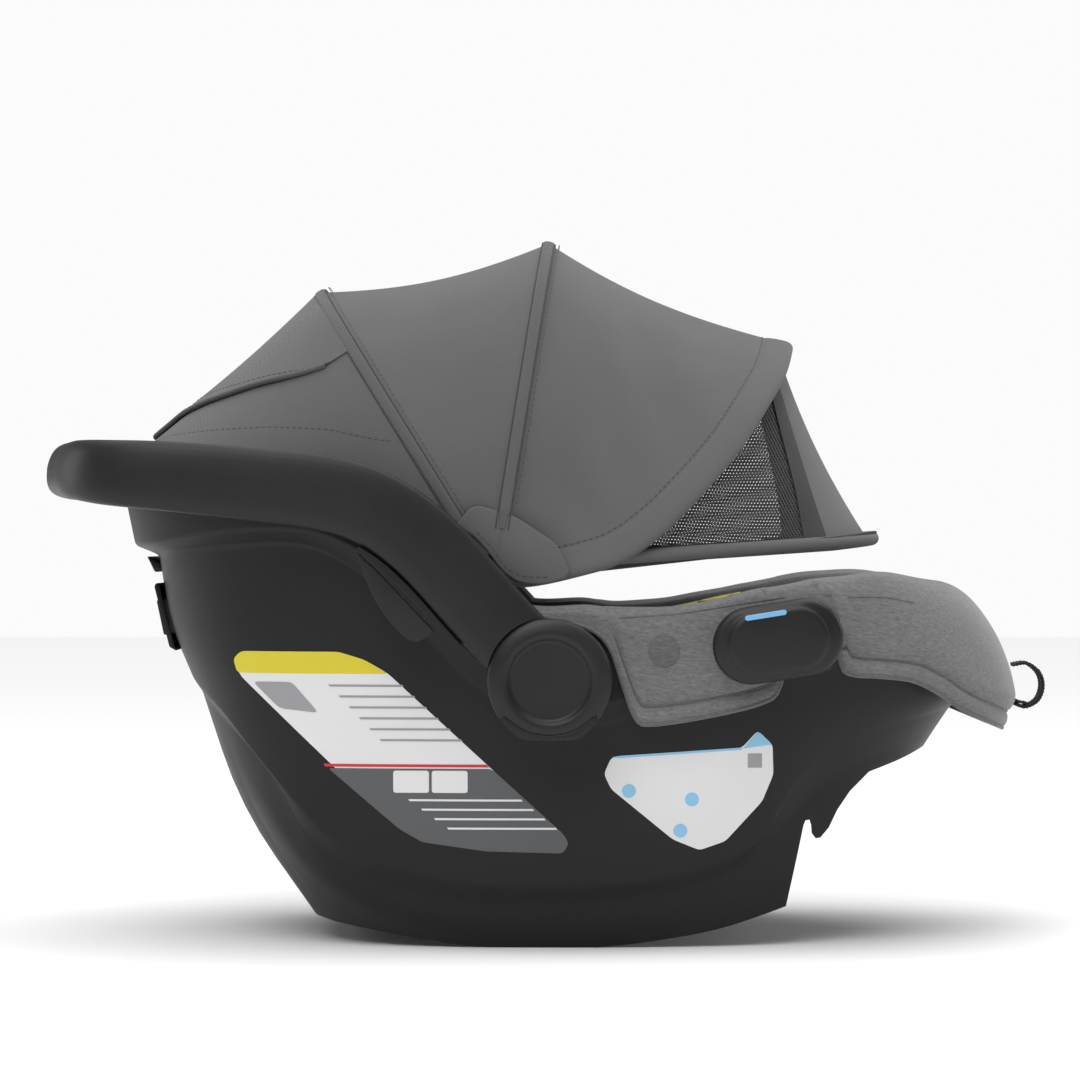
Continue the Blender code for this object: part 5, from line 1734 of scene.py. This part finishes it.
@dataclass
class RearFittings(SubAssembly):
    """Belt plate and release lever at the head end, and the canopy's pivot plates."""

    plate: tuple = ((-279.5, 253.5), (-278, 256), (-276, 255.5), (-265.1, 212), (-263, 206.5), (-268.5, 209.5))
    lever: tuple = ((-286, 275.5), (-275, 269), (-274.5, 264.5), (-280, 263.5))

    def build(self) -> None:
        """Builds them."""
        p = self.palette
        guide = Maker.prism("rear_belt_plate", rounded_outline(self.plate, 1.2, 3), -64, 64, 0.7, 2)
        turn = Matrix.Rotation(math.radians(-12), 3, "Y")
        for y in (-58, 58):
            Maker.combined(guide, Maker.block("lug", (-269, y, 232), (13, 10, 26), turn, 1.4), "UNION")
        Maker.shade(guide, 45)
        self.fit(guide, p.shell, ["shoulder_belt_guide"])
        handle = Maker.prism("release_grip", rounded_outline(self.lever, 1.2, 3), -52, 52, 0.8, 2)
        self.fit(handle, p.trim, ["base_release_lever"], body="release_lever")
        x0, z0 = self.form.canopy_pivot
        for side in Side:
            s = side.value
            outline = stadium((x0, 247), 40, 26, math.pi / 2, 16)
            mount = Maker.prism(f"pivot_plate_{side.word}", outline, s * 188.2, s * 190.6, 0.6, 2)
            stud = np.array([(0, 170), (2.6, 170), (3, 170.4), (3, 189), (0, 189)])
            Maker.combined(mount, Maker.lathe("stud", (x0, z0), stud, side, 24), "UNION")
            Maker.shade(mount, 45)
            self.fit(mount, p.shell, [f"canopy_mount_{side.word}"])


# ---------------------------------------------------------------- canopy


@dataclass
class Canopy(SubAssembly):
    """The folding canopy: bows, panels of cloth, channels, rims and the sunshade."""

    bow_power: float = 2.8
    rear: tuple = (121.8, 241.4, 180.4)
    mid: tuple = (81.0, 243.6, 184.0)
    shade: tuple = (6.3, 280.4, 173.0)
    front: tuple = (
        (-32, 177, 260), (-8, 177, 258), (29, 176.5, 266), (56, 175.5, 275), (83, 172, 294), (109, 165, 320),
        (136, 148, 351), (155, 124, 379), (171, 88, 405), (179, 42, 425), (180.5, 0, 429))
    flap_hem: tuple = (
        (-300, 352), (-275, 362), (-266, 370), (-257, 377), (-237.6, 384.2), (-200, 395.6), (-166.6, 403.2),
        (-134, 414), (-100, 425))
    low_seam: tuple = (
        (-300, 350), (-262, 361.5), (-227, 364.5), (-190, 366), (-148, 364), (-114, 356.5), (-97, 355))
    corner: tuple = (
        (-60, 296), (-47, 291), (-36, 279), (-27, 266), (-15, 257), (4, 256), (22, 262), (12, 284), (-18, 304),
        (-46, 312))
    corner_seam: tuple = ((-44, 292.6), (-33, 281.1), (-24, 268.6), (-12, 262.1), (7, 261.2))
    cloth: float = 1.0
    lift: float = 3.0
    count: int = 161

    def planar(self, tilt: float, reach: float, half_width: float, count: int, start: float = 0.0) -> np.ndarray:
        """Points of a flat bow from the right leg over the top to the left.

        Args:
            tilt: Its angle from the foot end, in degrees.
            reach: Height over the pivot.
            half_width: Half its width.
            count: How many points.
            start: Share of each leg left out.

        Returns:
            Points, one row each.
        """
        x0, z0 = self.form.canopy_pivot
        a = np.pi * np.linspace(start, 1 - start, count)
        c, s = np.cos(a), np.sin(a)
        k = (np.abs(c) ** self.bow_power + np.abs(s) ** self.bow_power) ** (-1 / self.bow_power)
        r = reach * s * k
        tilt = math.radians(tilt)
        return np.stack([x0 + r * math.cos(tilt), -half_width * c * k, z0 + r * math.sin(tilt)], 1)

    def front_curve(self, count: int, start: float = 0.0) -> np.ndarray:
        """Points of the front bow, whose legs run forward before they rise."""
        half = smooth([(x, -y, z) for x, y, z in self.front], 200)
        whole = np.vstack([half, half[-2::-1] * (1, -1, 1)])
        index = np.linspace(start, 1 - start, count) * (len(whole) - 1)
        return np.stack([np.interp(index, np.arange(len(whole)), whole[:, k]) for k in range(3)], 1)

    def outward(self, points: np.ndarray) -> np.ndarray:
        """Directions away from the middle of the pivot axis."""
        x0, z0 = self.form.canopy_pivot
        return unit(points - (x0, 0, z0))

    def rim_run(self, count: int) -> np.ndarray:
        """Line just over the shell's rim, round the head end, where the cloth is fixed."""
        angle = np.radians(254) - np.radians(148) * np.linspace(0, 1, count)
        x, y = plan(-300, 300, 185, angle)
        return np.stack([x, y, self.form.rim.at(x) + 5], 1)

    def span(self, first: np.ndarray, second: np.ndarray, sag: float, rows: int, lift: float) -> np.ndarray:
        """A sheet between two runs of points.

        Args:
            first: One edge.
            second: The other edge.
            sag: How far the middle hangs below the straight line.
            rows: Points across.
            lift: Height over the bows.

        Returns:
            Rows by columns by 3.
        """
        f = np.linspace(0, 1, rows)[:, None, None]
        flat = first[None] + (second - first)[None] * f
        length = np.linalg.norm(second - first, axis=1)[None, :, None]
        hang = sag * 4 * f * (1 - f) * np.minimum(1, length / 90)
        return flat + self.outward(flat) * (lift - hang)

    def bow(self, name: str, points: np.ndarray, body: str, node: str) -> None:
        """Makes one bow strip with its pivot eyes."""
        wide = unit(np.cross(unit(np.gradient(points, axis=0)), self.outward(points)))
        strip = Maker.strap(name, points, wide, 6.0, 2.0)
        y = abs(points[0][1])
        for side in Side:
            eye = np.array([(3.4, y - 1.3), (6.5, y - 1.3), (7, y - 0.9), (7, y + 0.9), (6.5, y + 1.3),
                            (3.4, y + 1.3), (3.4, y - 1.3)])
            Maker.combined(strip, Maker.lathe("eye", self.form.canopy_pivot, eye, side, 32), "UNION")
        Maker.shade(strip, 50)
        self.fit(strip, self.palette.trim, [node], body=body)

    def bend(self, obj: bpy.types.Object, grid: np.ndarray, bodies: tuple[str, str]) -> None:
        """Bakes a piece's placement and finds each of its points' share across a panel; the shares are not used.

        Args:
            obj: The piece.
            grid: The panel's rows, the first on the first body and the last on the second.
            bodies: The two bodies; not used.
        """
        x0, z0 = self.form.canopy_pivot
        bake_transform(obj)
        rows, columns = grid.shape[:2]
        tree = KDTree(rows * columns)
        for i, p in enumerate(((grid - (MIDDLE_X, 0, 0)) * MM).reshape(-1, 3)):
            tree.insert(p, i)
        tree.balance()
        shares = [tree.find(v.co)[1] // columns / (rows - 1) for v in obj.data.vertices]

    def panel(self, name: str, grid: np.ndarray, nodes: Sequence[str], bodies: tuple[str, str],
              finish: Optional[Finish] = None, thick: Optional[float] = None, declared: bool = True,
              rests: Sequence[str] = (), whole: Optional[np.ndarray] = None) -> bpy.types.Object:
        """Makes a panel of cloth between two bodies; it rides on neither.

        Args:
            name: The piece's name.
            grid: Its surface.
            nodes: CAD nodes it stands for.
            bodies: The two bodies.
            finish: Its cloth, the canopy's unless given.
            thick: Its thickness.
            declared: Whether it counts as a sheet of its own; not used.
            rests: What it rests on; not used.
            whole: The panel it is part of or lies on, where that isn't itself.

        Returns:
            The piece.
        """
        cloth = Maker.grid(name, grid)
        middle = cloth.data.polygons[len(cloth.data.polygons) // 2]
        x0, z0 = self.form.canopy_pivot
        out = middle.normal.dot(middle.center - Vector(((x0 - MIDDLE_X) * MM, 0, z0 * MM)))
        Maker.thickened(cloth, thick or self.cloth, 1 if out > 0 else -1)
        Maker.shade(cloth, 70)
        self.fit(cloth, finish or self.palette.canopy, nodes, body=None)
        self.bend(cloth, grid if whole is None else whole, bodies)
        return cloth

    def tape(self, name: str, points: np.ndarray, body: str) -> None:
        """The sewn channel over a bow, and the stitches beside it."""
        out = self.outward(points)
        across = unit(np.cross(unit(np.gradient(points, axis=0)), out))
        section = [(-3.9, -0.6), (-3.9, 0.9), (-3.5, 1.5), (-2.4, 1.9), (0, 2.1), (2.4, 1.9), (3.5, 1.5), (3.9, 0.9),
                   (3.9, -0.6), (0, -0.8)]
        ends = np.clip(np.minimum(np.arange(len(points)), np.arange(len(points))[::-1]) / 3, 0.25, 1)[:, None] ** 0.5
        sections = np.stack([points + across * a * ends + out * (self.lift + 0.6 + b * ends) for a, b in section], 1)
        channel = Maker.tube(name, sections)
        Maker.shade(channel, 60)
        self.fit(channel, self.palette.canopy_tape, body=body)
        for word, at in (("front", 4.5), ("rear", -4.5)):
            edge = Maker.cord(f"{name}_{word}_fold", points + across * at + out * (self.lift + self.cloth), 0.5)
            self.fit(edge, self.palette.thread, body=body)
        line = points + across * 7.6 + out * (self.lift + self.cloth + 0.05)
        seam = Maker.stitches(f"{name}_stitches", line[4:-4])
        self.fit(seam, self.palette.thread, body=body)

    def folds(self, grid: np.ndarray) -> np.ndarray:
        """Soft folds that the front panel falls into at its sides."""
        x, y, z = grid[..., 0], np.abs(grid[..., 1]), grid[..., 2]
        side = ease((y - 40) / 80)
        rows = np.linspace(0, 1, len(grid))[:, None]
        fixed = np.sin(np.pi * rows) ** 0.7
        lean = x + (z - 380) * 0.12
        dent = (-6.0 * bump(lean, 88, 15) + 3.4 * bump(lean, 62, 13) + 3.0 * bump(lean, 118, 14)) * bump(z, 392, 52)
        low = -4.2 * bump(x + (z - 320) * 0.3, 24, 13) * bump(z, 318, 34) + 2.6 * bump(x + (z - 320) * 0.3, 46, 12) \
            * bump(z, 318, 34)
        return grid + self.outward(grid) * ((dent + low) * side * fixed)[..., None]

    def build(self) -> None:
        """Builds the canopy."""
        n = self.count
        self.bow("rear_hoop", self.planar(*self.rear, n), "rear_bow", "canopy_bow_rear")
        self.bow("mid_hoop", self.planar(*self.mid, n), "mid_bow", "canopy_bow_mid")
        self.bow("front_hoop", self.front_curve(n), "front_bow", "canopy_bow_front")
        self.bow("sunshade_hoop", self.planar(*self.shade, n), "sunshade", "sunshade_bow")
        rear, mid, front = self.planar(*self.rear, n, 0.03), self.planar(*self.mid, n, 0.02), self.front_curve(n, 0.02)
        back = self.span(self.rim_run(n), rear, 3, 60, self.lift)
        middle = self.span(rear, mid, 9, 40, self.lift)
        fore = self.folds(self.span(mid, front, 9, 64, self.lift))
        self.panel("canopy_back", back, ["canopy_fabric_back"], ("carrier", "rear_bow"), rests=["rear_hoop"])
        self.panel("canopy_middle", middle, ["canopy_fabric_middle"], ("rear_bow", "mid_bow"),
                   rests=["rear_hoop", "mid_hoop"])
        self.panel("canopy_front", fore, ["canopy_fabric_front"], ("mid_bow", "front_bow"),
                   rests=["mid_hoop", "front_hoop"])
        self.tape("rear_channel", self.planar(*self.rear, n, 0.04), "rear_bow")
        self.tape("mid_channel", self.planar(*self.mid, n, 0.045), "mid_bow")
        self.corners()
        self.rear_flap(back)
        self.front_rim(fore)
        self.sunshade()

    def corners(self) -> None:
        """Folded cloth corners that close the panels over the pivot."""
        outline = rounded_outline(self.corner, 7, 6)
        for side in Side:
            s = side.value
            corner = Maker.prism(f"canopy_corner_{side.word}", outline, s * 184.2, s * 187.4, 1.3, 3)
            Maker.shade(corner, 60)
            self.fit(corner, self.palette.canopy)
            edge = smooth([(x, s * 187.6, z) for x, z in self.corner_seam], 30)
            seam = Maker.stitches(f"canopy_corner_stitches_{side.word}", edge)
            self.fit(seam, self.palette.thread)

    def rear_flap(self, back: np.ndarray) -> None:
        """The upper layer over the back panel, its rolled hem and the seam below it.

        Args:
            back: The back panel's surface.
        """
        hem_x, hem_z = np.array(self.flap_hem).T
        bodies = ("carrier", "rear_bow")
        rows, columns = back.shape[:2]
        lines = []
        for c in range(columns):
            line = back[:, c]
            over = line[:, 2] - np.interp(line[:, 0], hem_x, hem_z)
            if over[-1] > 3:
                at = np.interp(0, over, np.arange(rows))
                index = np.linspace(at, rows - 1, 24)
                fine = np.stack([np.interp(index, np.arange(rows), line[:, k]) for k in range(3)], 1)
                share = np.linspace(0, 1, 24)[:, None]
                reach = min(1, (rows - 1 - at) / 22)
                lines.append(fine + self.outward(fine) * (1.3 + 2.2 * reach * (1 - share) ** 2))
        flap = np.stack(lines, 1)
        self.panel("canopy_rear_flap", flap, [], bodies, rests=["canopy_back"], whole=back)
        edge = flap[0] + self.outward(flap[0]) * 0.4
        hem = Maker.cord("rear_flap_hem", edge, 1.9)
        self.fit(hem, self.palette.canopy_tape, body=None)
        self.bend(hem, back, bodies)
        above = flap[3] + self.outward(flap[3]) * (self.cloth + 0.1)
        seam = Maker.stitches("rear_flap_stitches", above)
        self.fit(seam, self.palette.thread, body=None)
        self.bend(seam, back, bodies)
        low_x, low_z = np.array(self.low_seam).T
        track = []
        for c in range(columns):
            line = back[:, c]
            over = line[:, 2] - np.interp(line[:, 0], low_x, low_z)
            if over[-1] > 2 and over[0] < 0:
                at = np.interp(0, over, np.arange(rows))
                track.append([np.interp(at, np.arange(rows), line[:, k]) for k in range(3)])
        track = np.array(track)
        low = Maker.stitches("canopy_back_stitches", track + self.outward(track) * (self.cloth + 0.1))
        self.fit(low, self.palette.thread, body=None)
        self.bend(low, back, bodies)

    def front_rim(self, fore: np.ndarray) -> None:
        """The padded edge folded round the front bow, and its seam.

        Args:
            fore: The front panel's surface.
        """
        sheet = Maker.grid("fore_copy", fore)
        draper = Draper(sheet)
        bpy.data.objects.remove(sheet)
        edge = fore[-1]
        along = unit(np.gradient(edge, axis=0))
        out = self.outward(edge)
        back = fore[-6] - fore[-1]
        back = unit(back - (back * along).sum(1, keepdims=True) * along)
        up = unit(np.cross(along, back))
        up = np.where((up * out).sum(1, keepdims=True) < 0, -up, up)

        def on(distance: float, lift: float) -> np.ndarray:
            spots = np.array([draper.nearest(p, 0) for p in edge + back * distance])
            return spots + up * lift

        sections = [on(18.5, 0.6), on(17.5, 1.5), on(14, 2.2), on(9, 2.7), on(4, 2.9), edge + up * 2.6,
                    edge - back * 2.6 + up * 1.2, edge - back * 3.6 - up * 1.0, edge - back * 3.2 - up * 3.6,
                    edge - back * 1 - up * 6.2, edge + back * 4 - up * 6.2, on(9, -4.4), on(14, -2.0), on(18.2, -0.9)]
        rim = Maker.tube("canopy_front_rim", np.stack(sections, 1))
        smoother = rim.modifiers.new("Soft", "SUBSURF")
        smoother.levels = 1
        Maker.applied(rim)
        Maker.shade(rim, 80)
        self.fit(rim, self.palette.canopy, body="front_bow")
        seam = Maker.stitches("front_rim_stitches", on(20.0, self.cloth + 0.15)[6:-6])
        self.fit(seam, self.palette.thread, body="front_bow")

    @staticmethod
    def between(row: np.ndarray, first: float, last: float, count: int) -> np.ndarray:
        """Points along a row between two places counted in its own points."""
        index = np.linspace(first, last, count)
        return np.stack([np.interp(index, np.arange(len(row)), row[:, k]) for k in range(3)], 1)

    def sunshade(self) -> None:
        """The drop-down sunshade: cloth panel, tapes, net windows and hem."""
        p = self.palette
        n = 201
        tilt, reach, half = self.shade
        front = self.front_curve(n, 0.13)
        front = front - self.outward(front) * 8
        low = self.planar(tilt, reach - 9, half - 2, n, 0.1)
        grid = self.span(front, low, 5, 34, 0.5)
        bodies = ("front_bow", "sunshade")
        rests = ["front_hoop", "sunshade_hoop"]
        rows = len(grid)
        panel, windows, tapes, borders = [], {s: [] for s in Side}, {s: [] for s in Side}, {s: [] for s in Side}
        for r, row in enumerate(grid):
            half_row = row[: n // 2 + 1]
            split = np.interp(0, half_row[:, 0] - (171 + (395 - half_row[:, 2]) * 0.286), np.arange(len(half_row)))
            split = min(max(split, 6), n // 2 - 12)
            panel.append(self.between(row, split, n - 1 - split, 90))
            step = np.linalg.norm(half_row[int(split)] - half_row[int(split) - 1])
            wide = 20 / step
            for side in Side:
                a = split if side is Side.RIGHT else n - 1 - split
                s = 1 if side is Side.RIGHT else -1
                edge = 0 if side is Side.RIGHT else n - 1
                windows[side].append(self.between(row, edge, a + s * 1.5, 60))
                tape = self.between(row, max(a - s * wide, 0) if s > 0 else min(a - s * wide, n - 1), a + s * 0.6, 9)
                tapes[side].append(tape + self.outward(tape) * 1.3)
                if r >= rows - 4:
                    border = self.between(row, edge, a, 50)
                    borders[side].append(border + self.outward(border) * 0.9)
        self.panel("sunshade_panel", np.array(panel), ["sunshade_fabric"], bodies, rests=rests, whole=grid)
        for side in Side:
            word = side.word
            self.panel(f"sunshade_window_{word}", np.array(windows[side]), [], bodies, p.net, 0.5, rests=rests,
                       whole=grid)
            self.panel(f"sunshade_tape_{word}", np.array(tapes[side]), [], bodies, p.black_tape, 0.7, False,
                       whole=grid)
            self.panel(f"window_border_{word}", np.array(borders[side]), [], bodies, p.black_tape, 0.6, False,
                       whole=grid)
        line = self.planar(tilt, reach - 4.5, half - 1.5, n, 0.095)
        out = self.outward(line)
        tilt = math.radians(tilt)
        up = np.array([-math.sin(tilt), 0, math.cos(tilt)])
        rise = np.maximum(9.0 * (1 - (line[:, :1] - self.form.canopy_pivot[0]) / (0.7 * reach)), -2.0)
        sections = []
        for i in range(24):
            a = 2 * np.pi * i / 24
            c, s = math.cos(a), math.sin(a)
            sections.append(line + out * (6.5 * abs(c) ** 0.8 * math.copysign(1, c)) + up * (5.2 * s + rise))
        hem = Maker.tube("sunshade_hem", np.stack(sections, 1))
        Maker.shade(hem, 60)
        self.fit(hem, p.canopy, body="sunshade")


# ---------------------------------------------------------------- studio


@dataclass
class Studio:
    """Floor, soft lights and camera."""

    distance: float = 3.0
    lens: float = 135.1
    eye_height: float = 0.287
    fill: float = 0.22
    backdrop: float = 0.965
    top_light: float = 2.5
    softboxes: tuple = (("key", (-0.9, -2.6, 3.0), 72.0, 2.4), ("head_end", (-3.0, 0.9, 0.9), 20.0, 1.4),
                        ("foot_end", (3.0, 0.6, 1.4), 22.0, 1.6))

    def build(self) -> None:
        """Places the floor, the lights and the camera."""
        floor = Maker.piece("studio_floor", np.array([(-9000, -6000, 0), (9000, -6000, 0), (9000, 9000, 0),
                                                      (-9000, 9000, 0)]), [(0, 1, 2, 3)])
        material, _, shader = start_material("studio_white")
        shader.inputs["Base Color"].default_value = (0.92, 0.92, 0.92, 1)
        shader.inputs["Roughness"].default_value = 0.9
        floor.data.materials.append(material)
        world = bpy.data.worlds.new("studio")
        bpy.context.scene.world = world
        world.use_nodes = True
        sky = world.node_tree.nodes["Background"]
        graph = Graph(world.node_tree)
        seen = graph.add("LightPath").outputs["Is Camera Ray"]
        sky.inputs[0].default_value = (1, 1, 1, 1)
        world.node_tree.links.new(graph.span(seen, 0.0, 1.0, self.fill, self.backdrop), sky.inputs[1])
        for name, place, watts, size in self.softboxes:
            self.softbox(name, place, watts, size)
        sun = bpy.data.objects.new("top", bpy.data.lights.new("top", "SUN"))
        sun.data.energy = self.top_light
        sun.data.angle = math.radians(75)
        bpy.context.scene.collection.objects.link(sun)
        sun.rotation_euler = (math.radians(-6), math.radians(4), 0)
        bpy.context.scene.view_settings.view_transform = "Standard"
        camera = bpy.data.objects.new("camera", bpy.data.cameras.new("camera"))
        bpy.context.scene.collection.objects.link(camera)
        camera.location = (-MIDDLE_X * MM, -self.distance, self.eye_height)
        camera.rotation_euler = (math.radians(90), 0, 0)
        camera.data.lens = self.lens
        camera.data.sensor_width = 36.0
        bpy.context.scene.camera = camera

    @staticmethod
    def softbox(name: str, place: Point, power: float, size: float) -> None:
        """A square soft light aimed at the carrier.

        Args:
            name: Its name.
            place: Where it hangs, in metres.
            power: Watts.
            size: Side, in metres.
        """
        data = bpy.data.lights.new(name, "AREA")
        data.energy = power
        data.size = size
        light = bpy.data.objects.new(name, data)
        bpy.context.scene.collection.objects.link(light)
        light.location = place
        light.rotation_euler = (Vector((0, 0, 0.25)) - Vector(place)).to_track_quat("-Z", "Y").to_euler()


def main() -> None:
    """Builds every sub-assembly in order."""
    logging.basicConfig(level=logging.INFO, format="%(name)s: %(message)s")
    form = CarrierForm()
    fitter = Fitter(Palette())
    Studio().build()
    shell = Shell(form, fitter).build()
    seat = Seat(form, fitter)
    seat.build()
    CarryHandle(form, fitter).build()
    BeltGuides(form, fitter).build()
    cover = SeatCover(form, fitter)
    cover.build()
    Labels(form, fitter, Draper(shell), cover.draper).build()
    Harness(form, fitter, seat).build()
    RearFittings(form, fitter).build()
    Canopy(form, fitter).build()
    p = fitter.palette
    plain = {f.slot: f for f in (p.seat, p.canopy, p.webbing, p.steel, p.foam, p.red, p.blue, p.shell, p.trim)}
    slots = {s["node"]: s["material_slot"] for s in frame["record"]["subparts"]}
    for node, obj in frame["nodes"].items():
        if not obj.hide_render:
            fitter.carry_over(node, plain[slots[node]])


if __name__ == "__main__":
    main()
